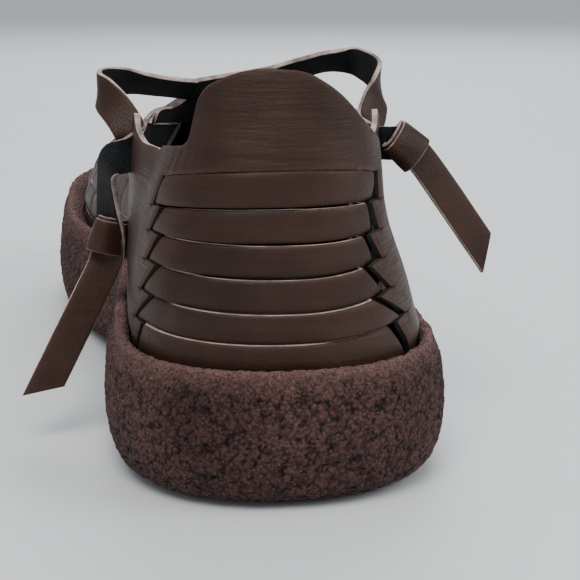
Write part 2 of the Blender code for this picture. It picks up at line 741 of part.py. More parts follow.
# Route of the lace, in millimetres, as on the foot's inner side: place across, along and up of
# its middle line, then the direction of its width. The crossing runs over the tongue's front.
CROSSING = (
    (-15.0, 99.6, 89.3, 0.0, -0.78, 0.62),
    (-8.0, 102.0, 90.0, 0.0, -0.75, 0.66),
    (0.0, 102.8, 91.1, 0.0, -0.75, 0.66),
    (8.0, 102.0, 92.4, 0.0, -0.75, 0.66),
    (15.0, 100.0, 94.6, 0.0, -0.76, 0.65),
)
LOOP_INNER = (
    (-16.3, 99.1, 89.2, 0.0, -0.80, 0.60),
    (-24.0, 97.2, 90.6, 0.0, -0.80, 0.60),
    (-33.0, 93.0, 92.2, 0.0, -0.72, 0.69),
    (-39.5, 87.0, 92.4, 0.0, -0.25, 0.97),
    (-41.3, 83.5, 91.6, 0.0, 0.05, 1.0),
    (-39.8, 80.0, 89.6, 0.2, 0.15, 0.97),
    (-36.6, 76.3, 85.6, 0.3, 0.35, 0.88),
    (-33.4, 73.5, 80.6, 0.1, 0.45, 0.88),
)
LOOP_OUTER = (
    (16.5, 99.5, 95.0, 0.0, -0.76, 0.65),
    (22.7, 97.6, 96.8, 0.0, -0.78, 0.62),
    (29.5, 95.0, 97.0, 0.0, -0.65, 0.76),
    (33.0, 89.0, 95.8, 0.0, -0.20, 0.98),
    (34.8, 85.0, 93.6, 0.0, 0.05, 1.0),
    (34.3, 81.0, 90.2, -0.1, 0.15, 0.97),
    (32.4, 77.0, 85.6, -0.2, 0.35, 0.88),
    (30.2, 74.0, 80.8, -0.1, 0.45, 0.88),
)
LEAD_INNER = (
    (-38.9, 69.0, 75.0, 0.0, 0.3, 0.95),
    (-40.6, 69.5, 71.5, -0.25, 0.65, 0.7),
    (-40.6, 70.5, 66.0, -0.35, 0.90, 0.2),
    (-40.3, 71.5, 60.1, -0.35, 0.93, 0.0),
)
TAIL_INNER = (
    (-41.3, 71.4, 46.9, -0.95, 0.20, 0.20),
    (-46.0, 69.0, 38.0, -0.90, 0.05, 0.40),
    (-52.5, 66.0, 26.0, -0.89, 0.10, 0.44),
    (-59.2, 62.5, 13.8, -0.89, 0.12, 0.44),
)
TAIL_OUTER = (
    (43.6, 67.0, 72.9, 0.70, 0.40, 0.60),
    (49.9, 67.0, 64.4, 0.78, 0.36, 0.52),
    (56.1, 67.0, 55.6, 0.78, 0.35, 0.52),
    (62.4, 67.0, 46.6, 0.78, 0.35, 0.52),
)
# Knots: middle, direction of the strap that comes out of it, in millimetres
KNOTS = (
    ("lace_knot_inner", (-40.1, 71.8, 53.6), (-0.10, -0.05, -1.0)),
    ("lace_knot_outer", (39.0, 67.0, 77.0), (0.75, 0.0, -0.66)),
)


def strap(name, rows, finish, steps=3):
    """A flat strap swept along a smooth route. Each row gives a middle point and the direction
    of the width there."""
    rows = np.array(rows, dtype=float)
    padded = np.concatenate([2 * rows[:1] - rows[1:2], rows, 2 * rows[-1:] - rows[-2:-1]])
    samples = []
    for i in range(1, len(rows)):
        p0, p1, p2, p3 = padded[i - 1:i + 3]
        for t in np.linspace(0, 1, steps, endpoint=False):
            samples.append(0.5 * (
                2 * p1 + (p2 - p0) * t + (2 * p0 - 5 * p1 + 4 * p2 - p3) * t ** 2
                + (3 * p1 - p0 - 3 * p2 + p3) * t ** 3
            ))
    samples = np.array([*samples, rows[-1]])
    centre = samples[:, :3] * MM
    run = np.gradient(centre, axis=0)
    run /= np.linalg.norm(run, axis=1, keepdims=True)
    width = samples[:, 3:] - run * np.sum(samples[:, 3:] * run, axis=1, keepdims=True)
    width /= np.linalg.norm(width, axis=1, keepdims=True)
    thick = np.cross(run, width)
    a, b = width * LACE_WIDTH / 2, thick * LACE_THICKNESS / 2
    rings = np.stack([centre - a - b, centre + a - b, centre + a + b, centre - a + b], axis=1)
    points, faces = closed_rings(rings)
    last = len(points) - 4
    faces += [(3, 2, 1, 0), (last, last + 1, last + 2, last + 3)]
    return make_object(name, points, faces, finish)


def knot(name, centre, heading, finish):
    """The wrap of a knot: a short rounded barrel round the strap."""
    heading = np.array(heading) / np.linalg.norm(heading)
    aside = np.cross(heading, (0.0, 1.0, 0.0))
    aside /= np.linalg.norm(aside)
    third = np.cross(heading, aside)
    angles = np.linspace(0, 2 * np.pi, 12, endpoint=False)
    rings = []
    for along, wide in ((-0.50, 0.80), (-0.36, 1.0), (0.36, 1.0), (0.50, 0.80)):
        radius = KNOT_SIZE / 2 * wide
        ring = (
            np.array(centre) * MM + heading * along * KNOT_SIZE
            + radius * (np.cos(angles)[:, None] * third + 0.72 * np.sin(angles)[:, None] * aside)
        )
        rings.append(ring)
    points, faces = closed_rings(np.array(rings)[::-1])
    faces += [tuple(range(11, -1, -1)), tuple(range(36, 48))]
    make_object(name, points, faces, finish)


def lace():
    """The flat lace: a crossing over the tongue, a loop to each ear, and the knotted ends."""
    finish = material("lace_leather", LEATHER_BROWN, 0.5)
    strap("lace_crossing", CROSSING, finish, steps=2)
    strap("lace_loop_inner", LOOP_INNER, finish)
    strap("lace_loop_outer", LOOP_OUTER, finish)
    strap("lace_lead_inner", LEAD_INNER, finish)
    strap("lace_tail_inner", TAIL_INNER, finish)
    strap("lace_tail_outer", TAIL_OUTER, finish)
    for name, centre, heading in KNOTS:
        knot(name, centre, heading, finish)


def centre_on_origin():
    """Every solid is moved so that the sole's box stands centred on the origin."""
    ways = ring_ways()
    _, edge, _ = ray(ways)
    middle_of_box = (edge.min(axis=0) + edge.max(axis=0)) / 2
    for made in bpy.context.scene.objects:
        made.location.x -= middle_of_box[0]
        made.location.y -= middle_of_box[1]


def main():
    for old in list(bpy.data.objects):
        bpy.data.objects.remove(old, do_unlink=True)
    sole()
    insole()
    upper()
    tongue()
    lace()
    centre_on_origin()


main()
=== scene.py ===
"""Looks of a woven leather slip-on shoe on a crumbed foam sole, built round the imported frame.

Everything is in metres in the frame's own axes: the toe points along +Y, the outer side of the
foot is +X and the floor is z = 0. The upper is made of real bands: a heel counter whose tab runs
down both sides with a saw-toothed edge, heel strips that dive under it, and lengthwise and
crosswise bands that pass over and under each other on the vamp.

A place on the upper is given by its way and its height. The way runs round the foot from the
middle of the heel, 0, through the heel's side, 90, and the toe's side, 190, to the toe's tip,
280, positive on the outer side and negative on the inner side.
"""

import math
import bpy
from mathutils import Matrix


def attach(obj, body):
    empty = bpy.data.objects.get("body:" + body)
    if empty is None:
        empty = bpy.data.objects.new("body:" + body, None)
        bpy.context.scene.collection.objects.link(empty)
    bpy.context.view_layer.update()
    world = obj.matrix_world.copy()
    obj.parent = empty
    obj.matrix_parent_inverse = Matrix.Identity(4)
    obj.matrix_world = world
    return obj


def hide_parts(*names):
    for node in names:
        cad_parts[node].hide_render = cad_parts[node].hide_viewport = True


bl_info = {
    "name": "Woven Shoe Looks",
    "version": (1, 0, 0),
    "blender": (4, 5, 0),
    "location": "3D Viewport > Sidebar > Woven Shoe",
    "description": "Builds the leather bands, lace, lining and crumbed sole of a woven shoe",
    "category": "Add Mesh",
}

import bpy
import numpy as np
from mathutils import Vector

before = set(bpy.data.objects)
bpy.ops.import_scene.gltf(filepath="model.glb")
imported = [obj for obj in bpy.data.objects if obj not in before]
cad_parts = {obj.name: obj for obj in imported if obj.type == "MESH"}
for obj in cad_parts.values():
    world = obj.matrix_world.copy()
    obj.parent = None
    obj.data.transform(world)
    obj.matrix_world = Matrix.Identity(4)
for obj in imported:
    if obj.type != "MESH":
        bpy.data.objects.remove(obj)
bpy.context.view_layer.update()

MM = 0.001

# Sizes of the shoe, the same as the frame's
LENGTH = 0.291
HEEL_WIDTH = 0.086
BALL_INNER = 0.054
BALL_OUTER = 0.057
TAB_HEIGHT = 0.104
INSTEP_HEIGHT = 0.084
HEEL_RIM = 0.0325
HEEL_FLOOR = 0.024
TOE_SPRING = 0.012
ARCH_RISE = 0.0045
HEEL_INSET = 0.0063
TOE_INSET = 0.0085
BOTTOM_ROUND = 0.014
CUP_CLEARANCE = 0.0005
HEEL_CENTRE = 0.15
TOE_CENTRE = 0.80
CAP_SQUARENESS = 2.25
FLAT = 2.2
BACK_REACH = 1.6
SPRING_START = 0.74
ARCH_PLACE = 0.42
ARCH_REACH = 0.16
# From the heel's back and the heel's middle line to the middle of the sole's box
TO_FRAME = np.array([-0.0015, -0.1455, 0.0])

# Sides of the sole: place along, inner and outer widening, shift of the middle line
SIDES = (
    (0.15, 0.00, 0.00, 0.00),
    (0.25, -0.10, 0.03, 0.00),
    (0.38, -0.38, 0.12, 0.00),
    (0.52, 0.18, 0.48, -0.01),
    (0.64, 0.88, 0.92, -0.03),
    (0.71, 1.00, 1.00, -0.06),
    (0.80, 0.92, 0.78, -0.12),
)
# Middle line of the upper: place along, height as a share of the instep, squareness of section
RIDGE = (
    (0.15, 1.32, 2.00),
    (0.20, 1.60, 2.05),
    (0.25, 2.05, 2.15),
    (0.30, 1.62, 2.20),
    (0.35, 1.17, 2.25),
    (0.41, 1.00, 2.30),
    (0.52, 0.895, 2.50),
    (0.64, 0.815, 2.65),
    (0.72, 0.775, 2.70),
    (0.80, 0.745, 2.70),
)
# Outer side of the heel: height as a share of the tab's height, width there as a share
PINCH = (
    (0.330, 1.000),
    (0.400, 0.958),
    (0.450, 0.932),
    (0.500, 0.900),
    (0.560, 0.856),
    (0.610, 0.828),
    (0.660, 0.820),
    (0.740, 0.845),
    (0.800, 0.868),
    (1.000, 0.900),
)
# Places along between which the pinch fades out
PINCH_START = 0.12
PINCH_END = 0.36
# Cup of the sole: place along, floor as a share of the heel's floor, rim of the heel's rim
CUP = (
    (0.00, 1.00, 1.00),
    (0.15, 1.00, 1.02),
    (0.35, 0.95, 1.08),
    (0.52, 0.84, 1.10),
    (0.66, 0.76, 1.12),
    (0.80, 0.76, 1.15),
    (0.92, 0.84, 1.22),
    (1.00, 0.95, 1.28),
)
# Sole from the underside's middle out: share of the way to the bottom round, rows, roughness
UNDERSIDE = ((0.0, 2, 0.0), (0.55, 2, 0.0), (0.92, 3, 0.3))
# Side of the sole from the floor up: distance in as a share of the bottom round, height share,
# rows up to the next, roughness, dust
SOLE_SIDE = (
    (1.00, 0.00, 8, 0.45, 0.00),
    (0.52, 0.035, 8, 1.0, 0.00),
    (0.20, 0.13, 8, 1.0, 0.00),
    (0.05, 0.30, 8, 1.0, 0.00),
    (0.00, 0.50, 8, 1.0, 0.00),
    (0.03, 0.70, 6, 1.0, 0.00),
    (0.08, 0.86, 5, 1.0, 0.00),
    (0.18, 0.96, 3, 1.0, 0.35),
)
# Lip of the sole: distance in, height over the rim, dust. Then the cup's wall from its top down:
# share of the rim's height over the floor, rows
LIP = ((0.0031, 0.0010, 0.8), (0.0042, 0.0013, 1.0), (0.0053, 0.0009, 0.6))
CUP_WALL = ((0.93, 2), (0.62, 2), (0.32, 1), (0.02, 1))
# Smaller crumbs between the others: their size and their share of the lift
SMALL_CRUMB = 0.62
SMALL_SHARE = 0.32
# Edge of the collar on each side from the heel's middle to the ear: way, share of tab height
COLLAR_INNER = (
    (0, 0.982), (10, 0.986), (20, 0.979), (30, 0.961), (36, 0.946), (39.5, 0.930), (41.4, 0.912),
    (42.4, 0.880), (43.2, 0.848), (45, 0.822), (48, 0.810), (54, 0.805), (75, 0.790),
    (90, 0.772), (97, 0.772), (101, 0.790), (105, 0.828),
)
COLLAR_OUTER = (
    (0, 0.982), (8.5, 0.973), (14, 0.959), (21, 0.937), (28, 0.909), (36, 0.873), (44, 0.845),
    (54, 0.822), (66, 0.808), (78, 0.797), (90, 0.783), (97, 0.780), (101, 0.795), (105, 0.828),
)
# Edge of the throat from the foot of the notch in front of the ear to the vamp's back
THROAT = ((107.4, 0.560), (107.8, 0.650), (109.5, 0.745), (114, 0.785), (118, 0.812), (122, 0.835))
VAMP_BACK_WAY = 126.5
# Slits of the heel: heights of the middle, the inner and the outer end as shares of the tab's
# height, way of the inner and of the outer end
SLITS = (
    (0.768, 0.735, 0.744, 61, 50),
    (0.683, 0.667, 0.680, 60, 43),
    (0.603, 0.604, 0.609, 59, 39),
    (0.526, 0.535, 0.541, 59, 36),
    (0.448, 0.461, 0.468, 62, 38),
    (0.379, 0.388, 0.399, 68, 46),
)
# For each slit: how far it stands open, and the ways between which the top edge of the strip
# below it stands out and shows its pale cut
SLIT_EDGES = (
    (0.0001, -75, 75),
    (0.0004, -2, 75),
    (0.0004, -26, 75),
    (0.0004, -42, 75),
    (0.0003, -54, 75),
    (0.0002, -75, 18),
)
# How far in metres an edge at a slit stands out, and how far it is sunk
PROUD = 0.0005
SUNK = 0.0003
SLANT_TURN = 8.5
BAND_FRONT_WAY = 105.0
# Lines between the lengthwise bands, counted from the middle, and between the crosswise ones
COLUMNS = (-5.3, -4.5, -3.5, -2.5, -1.5, -0.5, 0.5, 1.5, 2.5, 3.5, 4.5, 5.3)
BANDS_TO_RIM = 5.5
WEAVE_FULL = 0.41
ROWS = (0.268, 0.318, 0.380, 0.442, 0.504, 0.566, 0.628, 0.690, 0.752, 0.816, 0.922, 1.030, 1.115)
WEAVE_BACK = 0.236
# Places across a band where its face is worked out, closer together at its edges
ACROSS = np.array([-1, -0.985, -0.93, -0.82, -0.6, -0.3, 0, 0.3, 0.6, 0.82, 0.93, 0.985, 1.0])
# How far in metres the bands go down behind the sole's rim
TUCK = 0.0035

# Creases of the counter: way and height share of the middle, turn from level in degrees, half
# length, half width and depth in millimetres
CREASES = (
    (-18, 0.792, 3, 13.0, 0.9, 0.22), (8, 0.786, -2, 15.0, 0.8, 0.20),
    (26, 0.800, -6, 9.0, 0.8, 0.18), (-4, 0.815, 2, 11.0, 0.7, 0.14),
    (14, 0.836, -3, 12.0, 0.8, 0.13), (-10, 0.862, 1, 10.0, 0.7, 0.12),
    (10, 0.890, -2, 9.0, 0.7, 0.12), (-2, 0.920, 0, 8.0, 0.7, 0.10),
    (-38, 0.785, 80, 3.2, 0.7, 0.22), (-43, 0.780, 74, 3.6, 0.6, 0.24),
    (-48, 0.776, 68, 3.8, 0.7, 0.24), (-53, 0.768, 60, 3.6, 0.7, 0.20),
    (-34, 0.790, 88, 2.8, 0.6, 0.16), (36, 0.800, -60, 3.0, 0.7, 0.12),
)

# Route of the lace in millimetres from the heel's back: place across, along and up of its middle
# line, then the direction of its width
CROSSING = (
    (-15.0, 99.6, 89.3, 0.0, -0.78, 0.62),
    (-8.0, 102.0, 90.0, 0.0, -0.75, 0.66),
    (0.0, 102.8, 91.1, 0.0, -0.75, 0.66),
    (8.0, 102.0, 92.4, 0.0, -0.75, 0.66),
    (15.0, 100.0, 94.6, 0.0, -0.76, 0.65),
)
LACE_INNER = (
    (-15.04, 99.6, 89.3, 0.0, -0.78, 0.62),
    (-24.0, 97.2, 90.6, 0.0, -0.80, 0.60),
    (-33.0, 93.0, 92.2, 0.0, -0.72, 0.69),
    (-39.5, 87.0, 92.4, 0.0, -0.25, 0.97),
    (-41.3, 83.5, 91.6, 0.0, 0.05, 1.0),
    (-39.8, 80.0, 89.6, 0.2, 0.15, 0.97),
    (-36.6, 76.3, 85.6, 0.3, 0.35, 0.88),
    (-33.6, 72.6, 80.2, 0.1, 0.40, 0.90),
    (-33.9, 69.2, 76.6, 0.0, 0.20, 0.97),
    (-36.4, 67.8, 75.2, 0.0, 0.10, 0.99),
    (-38.9, 68.6, 74.4, 0.0, 0.3, 0.95),
    (-40.6, 69.5, 71.5, -0.25, 0.65, 0.7),
    (-40.6, 70.5, 66.0, -0.45, 0.85, 0.2),
    (-40.3, 71.5, 60.1, -0.60, 0.80, 0.0),
    (-40.1, 71.8, 53.6, -0.80, 0.60, 0.05),
    (-41.3, 71.4, 46.9, -0.95, 0.20, 0.20),
    (-46.0, 69.0, 38.0, -0.90, 0.05, 0.40),
    (-52.5, 66.0, 26.0, -0.89, 0.10, 0.44),
    (-59.2, 62.5, 13.8, -0.89, 0.12, 0.44),
)
LACE_OUTER = (
    (15.04, 100.0, 94.6, 0.0, -0.76, 0.65),
    (22.7, 97.6, 96.8, 0.0, -0.78, 0.62),
    (29.5, 95.0, 97.0, 0.0, -0.65, 0.76),
    (33.0, 89.0, 95.8, 0.0, -0.20, 0.98),
    (34.8, 85.0, 93.6, 0.0, 0.05, 1.0),
    (34.3, 81.0, 90.2, -0.1, 0.15, 0.97),
    (32.4, 77.0, 85.6, -0.2, 0.35, 0.88),
    (30.3, 72.6, 80.8, -0.1, 0.40, 0.90),
    (30.8, 69.0, 77.8, 0.0, 0.20, 0.97),
    (34.2, 67.6, 77.4, 0.05, 0.10, 0.98),
    (39.0, 67.0, 77.0, 0.50, 0.30, 0.80),
    (43.6, 67.0, 72.9, 0.70, 0.40, 0.60),
    (49.9, 67.0, 64.4, 0.78, 0.36, 0.52),
    (56.1, 67.0, 55.6, 0.78, 0.35, 0.52),
    (62.4, 67.0, 46.6, 0.78, 0.35, 0.52),
)
# Knots: middle, the way that the strap leaves it and the direction across the strap
KNOT_INNER = ((-40.1, 71.8, 53.6), (-0.28, -0.08, -0.95), (0.85, 0.50, 0.0))
KNOT_OUTER = ((39.0, 67.0, 77.0), (0.75, 0.0, -0.66), (0.45, 0.45, 0.76))

# Tongue: place along, rise above its root as a share, half width as a share
TONGUE_ROOT = 0.364
TONGUE_WIDTH = 0.027
TONGUE_RISE = 0.010
TONGUE = (
    (0.540, 0.00, 0.78), (0.500, 0.00, 0.92), (0.460, 0.00, 1.0), (0.420, 0.00, 1.0),
    (0.390, -0.18, 1.0), (0.364, -0.54, 1.0), (0.356, -0.50, 1.0), (0.348, -0.36, 0.93),
    (0.343, -0.20, 0.76), (0.340, -0.12, 0.52), (0.338, -0.05, 0.24),
)
TONGUE_UNDER = 0.0028
TONGUE_THICKNESS = 0.0017

# Camera: place from the heel's back in millimetres, and the slope of its line of sight
CAMERA_PLACE = (-51.0, -320.0, 132.0)
CAMERA_SLOPE = (0.152, 1.0, -0.243)
CAMERA_LENS = 92.0
SENSOR = 36.0

# Bands of the vamp, in bands: outermost line, gap beside a band; width of a crosswise band as a
# share of its row; way in from the back at which the lengthwise bands go under the side bands
OUTERMOST = 6.0
BAND_GAP = 0.035
CROSS_WIDTH = 0.94
UNDER_SIDE_BAND = 0.243
# Lifts over the wall in metres: the woven bands, the throat's border and the crown of a strip
WOVEN_LIFT = 0.0003
BORDER_LIFT = 0.0011
BORDER_WIDTH = 0.0075
CROWN = 0.0003
# How far in degrees a heel strip runs on past its teeth, and its dive at the inner and at the
# outer end: where it starts, how long it is in degrees and how deep in metres
STRIP_BEYOND = 9.0
DIVES = ((2.6, 4.0, 0.0026), (5.5, 5.5, 0.0034))
# Gap at the top of a tooth in metres, millimetres to a degree at the ear and at the teeth, and a
# distance in millimetres beyond the reach of any edge
TOOTH_GAP = 0.0003
MM_AT_EAR = 1.89
MM_AT_TOOTH = 0.65
FAR = 9.0
# Section of the strap: places across and through it as shares of its half width and thickness.
# The first sides are its front, and as many from STRAP_BACK on its back
STRAP_SECTION = (
    (-0.97, 0.86), (-0.80, 0.97), (-0.4, 1.05), (0.0, 1.08), (0.4, 1.05), (0.80, 0.97),
    (0.97, 0.86), (1.0, 0.62), (1.0, -0.62), (0.97, -0.86), (0.80, -0.95), (0.4, -1.0),
    (0.0, -1.0), (-0.4, -1.0), (-0.80, -0.95), (-0.97, -0.86), (-1.0, -0.62), (-1.0, 0.62),
)
STRAP_FRONT = 6
STRAP_BACK = 9
LACE_SLANT = 0.0035
# Wrap of a knot: angle at its start, number of turns, growth with each, squareness, and its half
# width, half depth and climb in millimetres
KNOT_START = 0.3
KNOT_TURNS = 1.7
KNOT_GROWTH = 0.13
KNOT_SQUARE = 0.8
KNOT_HALF_WIDTH = 3.9
KNOT_HALF_DEPTH = 2.5
KNOT_CLIMB = 1.6
KNOT_LEAN = 0.22
KNOT_STRAP_WIDTH = 0.0088
# Strength of the leather's highlights, and its roughness in its shiniest and dullest patches
LEATHER_SPECULAR = 0.20
LEATHER_ROUGHNESS = (0.36, 0.50)
# Patterns of the finishes, in waves or cells to a metre, on each axis where they are stretched
CLOUDS, STREAKS, WEAR_HIGHLIGHT_PATCHES, GLOSS = 42.0, (40, 40, 420), 900.0, 160.0
LEVEL_LINES, GRAIN, PORES = (70, 70, 1150), 2300.0, 1500.0
NAP, NAP_PATCHES, BED_NAP = 1700.0, 240.0, 900.0
EDGE_PATCHES, EDGE_FIBRES = 170.0, (500, 500, 2600)
GRIT, FOAM_PATCHES, FOAM_CURL, FOAM_CELLS = 1300.0, 30.0, 1100.0, 960.0


def length_property(name, description, default, low, high):
    return bpy.props.FloatProperty(
        name=name, description=description, default=default, min=low, max=high, precision=5,
        subtype="DISTANCE", unit="LENGTH")


def colour_property(name, description, default):
    return bpy.props.FloatVectorProperty(
        name=name, description=description, subtype="COLOR", size=3, default=default, min=0.0,
        max=1.0)


class WovenShoeSizes(bpy.types.PropertyGroup):
    """Sizes of the bands, lace and crumbs"""

    band_thickness: length_property(
        "Band thickness", "Thickness of the leather bands", 0.0013, 0.0008, 0.0025)
    weave_height: length_property(
        "Weave height", "How far a band rises and dips over and under", 0.00068, 0.0, 0.0015)
    counter_lift: length_property(
        "Counter lift", "How far the counter lies over the strips", 0.0009, 0.0, 0.002)
    edge_roll: length_property(
        "Edge roll", "How far the edges of a band turn in", 0.00035, 0.0, 0.001)
    lace_width: length_property("Lace width", "Width of the flat lace", 0.009, 0.006, 0.012)
    lace_thickness: length_property(
        "Lace thickness", "Thickness of the flat lace", 0.0016, 0.001, 0.002)
    crumb_size: length_property("Crumb size", "Width of the foam's crumbs", 0.0018, 0.001, 0.005)
    crumb_height: length_property(
        "Crumb height", "Height of the foam's crumbs", 0.0013, 0.0, 0.002)


class WovenShoeColours(bpy.types.PropertyGroup):
    """Colours of the leather, lining, foam and floor"""

    leather: colour_property("Leather", "Main brown of the leather", (0.027, 0.0120, 0.0076))
    leather_light: colour_property(
        "Leather, lighter", "Lighter brown of its cloudy patches", (0.046, 0.0225, 0.0155))
    cut_edge: colour_property("Cut edge", "Pale raw edge of the leather", (0.52, 0.40, 0.36))
    suede: colour_property("Suede", "Black flesh side of the leather", (0.0040, 0.0045, 0.0055))
    suede_light: colour_property(
        "Suede, fibres", "Blue grey fibres of the flesh side", (0.020, 0.024, 0.030))
    # Painted light and shade: the foam colour is painted on the lit crumb tops, the deep one as
    # shade in the hollows
    foam: colour_property("Foam", "Tops of the foam's crumbs", (0.148, 0.069, 0.061))
    foam_painted_shade: colour_property(
        "Foam, deep", "Hollows between the foam's crumbs", (0.010, 0.0035, 0.0035))
    floor: colour_property("Floor", "Pale studio floor", (0.72, 0.73, 0.74))


def sizes():
    return bpy.context.scene.woven_shoe_sizes


def colours():
    return bpy.context.scene.woven_shoe_colours


def smooth(rows, column, at):
    """A column of a table read at any place: a cubic between rows whose slope at a row is the
    harmonic mean of the slopes beside it, and level where they differ in sign."""
    table = np.array(rows, dtype=float)
    x, y = table[:, 0], table[:, column]
    step = np.diff(x)
    rise = np.diff(y) / step
    slope = np.zeros(len(x))
    same = rise[:-1] * rise[1:] > 0
    total = np.where(same, rise[:-1] + rise[1:], 1.0)
    slope[1:-1] = np.where(same, 2 * rise[:-1] * rise[1:] / total, 0.0)
    at = np.clip(np.asarray(at, dtype=float), x[0], x[-1])
    i = np.clip(np.searchsorted(x, at, side="right") - 1, 0, len(x) - 2)
    s = (at - x[i]) / step[i]
    return (
        y[i] * (1 + 2 * s) * (1 - s) ** 2
        + slope[i] * step[i] * s * (1 - s) ** 2
        + y[i + 1] * s * s * (3 - 2 * s)
        + slope[i + 1] * step[i] * s * s * (s - 1)
    )


def ease(value):
    """0 below 0, 1 above 1, and level at both ends in between."""
    value = np.clip(value, 0, 1)
    return value * value * (3 - 2 * value)


def signed_power(value, power):
    return np.sign(value) * np.abs(value) ** power


def half_width(side, along):
    ball = np.where(side > 0, BALL_OUTER, BALL_INNER)
    widening = np.where(side > 0, smooth(SIDES, 2, along), smooth(SIDES, 1, along))
    return HEEL_WIDTH / 2 + (ball - HEEL_WIDTH / 2) * widening


def middle(along):
    return smooth(SIDES, 3, along) * BALL_INNER


def ray(way, margin=0.0, follow=False):
    """Middle point, edge point and turn of the ray at each way: the edge is a superellipse round
    the heel's and the toe's centre with the table's half width between, less a margin or, with
    follow, the upper's foot."""
    way = np.asarray(way, dtype=float)
    side = np.where(way < 0, -1.0, 1.0)
    w = np.abs(way)
    along = HEEL_CENTRE + (TOE_CENTRE - HEEL_CENTRE) * np.clip((w - 90) / 100, 0, 1)
    turn = np.radians(np.where(w < 90, w, np.where(w > 190, 280 - w, 90)))
    toe = w > 190
    if follow:
        margin = HEEL_INSET + (TOE_INSET - HEEL_INSET) * np.clip(along, 0, 1)
    centre = np.stack([middle(along), along * LENGTH], axis=-1)
    half = half_width(side, along) - side * centre[..., 0] - margin
    reach = np.where(toe, (1 - TOE_CENTRE) * LENGTH, HEEL_CENTRE * LENGTH) - margin
    power = CAP_SQUARENESS
    radius = (np.sin(turn) / half) ** power + (np.abs(np.cos(turn)) / reach) ** power
    radius = radius ** (-1 / power)
    heading = np.stack([side * np.sin(turn), np.where(toe, 1.0, -1.0) * np.cos(turn)], axis=-1)
    return centre, centre + radius[..., None] * heading, turn


def profile(way):
    """Foot height, ridge height and squareness of the upper's section at each way."""
    centre, edge, turn = ray(way, follow=True)
    along = centre[..., 1] / LENGTH
    foot = smooth(CUP, 1, edge[..., 1] / LENGTH) * HEEL_FLOOR
    top = smooth(RIDGE, 1, along) * INSTEP_HEIGHT
    back = np.where(np.abs(np.asarray(way)) < 90, np.cos(turn) ** 2, 0.0)
    top = top + (BACK_REACH * TAB_HEIGHT - top) * back
    return foot, top, smooth(RIDGE, 2, along)


def way_of(flat):
    """The way and the share of the ray of each point of the flattened upper."""
    x, y = flat[..., 0], flat[..., 1]
    heel, toe = HEEL_CENTRE * LENGTH, TOE_CENTRE * LENGTH
    along = np.clip(y, heel, toe) / LENGTH
    dx = x - middle(along)
    side = np.where(dx < 0, -1.0, 1.0)
    w = side_way(1, along)
    w = np.where(y < heel, np.degrees(np.arctan2(np.abs(dx), heel - y)), w)
    w = np.where(y > toe, 280 - np.degrees(np.arctan2(np.abs(dx), y - toe)), w)
    centre, edge, _ = ray(side * w, follow=True)
    distance = np.hypot(dx, y - np.clip(y, heel, toe))
    return side * w, distance / (FLAT * np.linalg.norm(edge - centre, axis=-1))


def flat_at(way, height=None, share=None):
    """The point of the flattened upper at a way and a height, or at a share of the ray."""
    way = np.asarray(way, dtype=float)
    centre, edge, _ = ray(way, follow=True)
    if share is None:
        foot, top, power = profile(way)
        rise = np.clip((height - foot) / (top - foot), 0, 1)
        share = np.arccos(rise ** (power / 2)) * 2 / np.pi
    share = np.broadcast_to(np.asarray(share, dtype=float), way.shape)
    return centre + (edge - centre) * (share * FLAT)[..., None]


def pinched(plan, centre, height):
    """The plan with the heel's outer side drawn in towards the middle line."""
    held = 1 - ease((plan[..., 1] / LENGTH - PINCH_START) / (PINCH_END - PINCH_START))
    aside = plan[..., 0] - centre[..., 0]
    share = 1 - (1 - smooth(PINCH, 1, height / TAB_HEIGHT)) * held
    across = centre[..., 0] + aside * np.where(aside > 0, share, 1.0)
    return np.stack([across, plan[..., 1], height], axis=-1)


def surface(flat):
    """The upper's outer face: along each ray its plan grows with the sine of the share and its
    height with the cosine, both raised to 2 over the squareness."""
    way, share = way_of(flat)
    centre, edge, _ = ray(way, follow=True)
    foot, top, power = profile(way)
    bend = share * np.pi / 2
    plan = centre + (edge - centre) * signed_power(np.sin(bend), 2 / power)[..., None]
    height = foot + (top - foot) * signed_power(np.cos(bend), 2 / power)
    return pinched(plan, centre, height)


def slopes_at(flat):
    """Steps of the upper's outer face over 0.8 mm of the flattened upper, across and along."""
    step = 0.4 * MM
    return [surface(flat + move) - surface(flat - move) for move in np.diag([step, step])]


def outward(flat):
    """Unit vectors out of the upper's outer face, from its slopes across and along."""
    normal = np.cross(*slopes_at(flat))
    return normal / np.linalg.norm(normal, axis=-1, keepdims=True)


def rim_height(way):
    _, edge, _ = ray(way)
    return smooth(CUP, 2, edge[..., 1] / LENGTH) * HEEL_RIM


def slit_height(row, way):
    """Height of a heel slit at a way: a parabola from its middle to each end."""
    height, inner_height, outer_height, inner, outer = row
    end = np.where(np.asarray(way) < 0, inner, outer)
    rise = np.where(np.asarray(way) < 0, inner_height, outer_height) - height
    return (height + rise * (np.asarray(way) / end) ** 2) * TAB_HEIGHT


def collar_height(way):
    way = np.asarray(way, dtype=float)
    inner = smooth(COLLAR_INNER, 1, np.abs(way))
    outer = smooth(COLLAR_OUTER, 1, np.abs(way))
    return np.where(way < 0, inner, outer) * TAB_HEIGHT


def tooth_ways(side):
    """Way of the upper and of the lower end of each slanted edge of the side band."""
    column = 3 if side < 0 else 4
    top = np.array([row[column] for row in SLITS], dtype=float)
    low = np.append(top[1:], top[-1] + 2.0) + SLANT_TURN
    return top, low


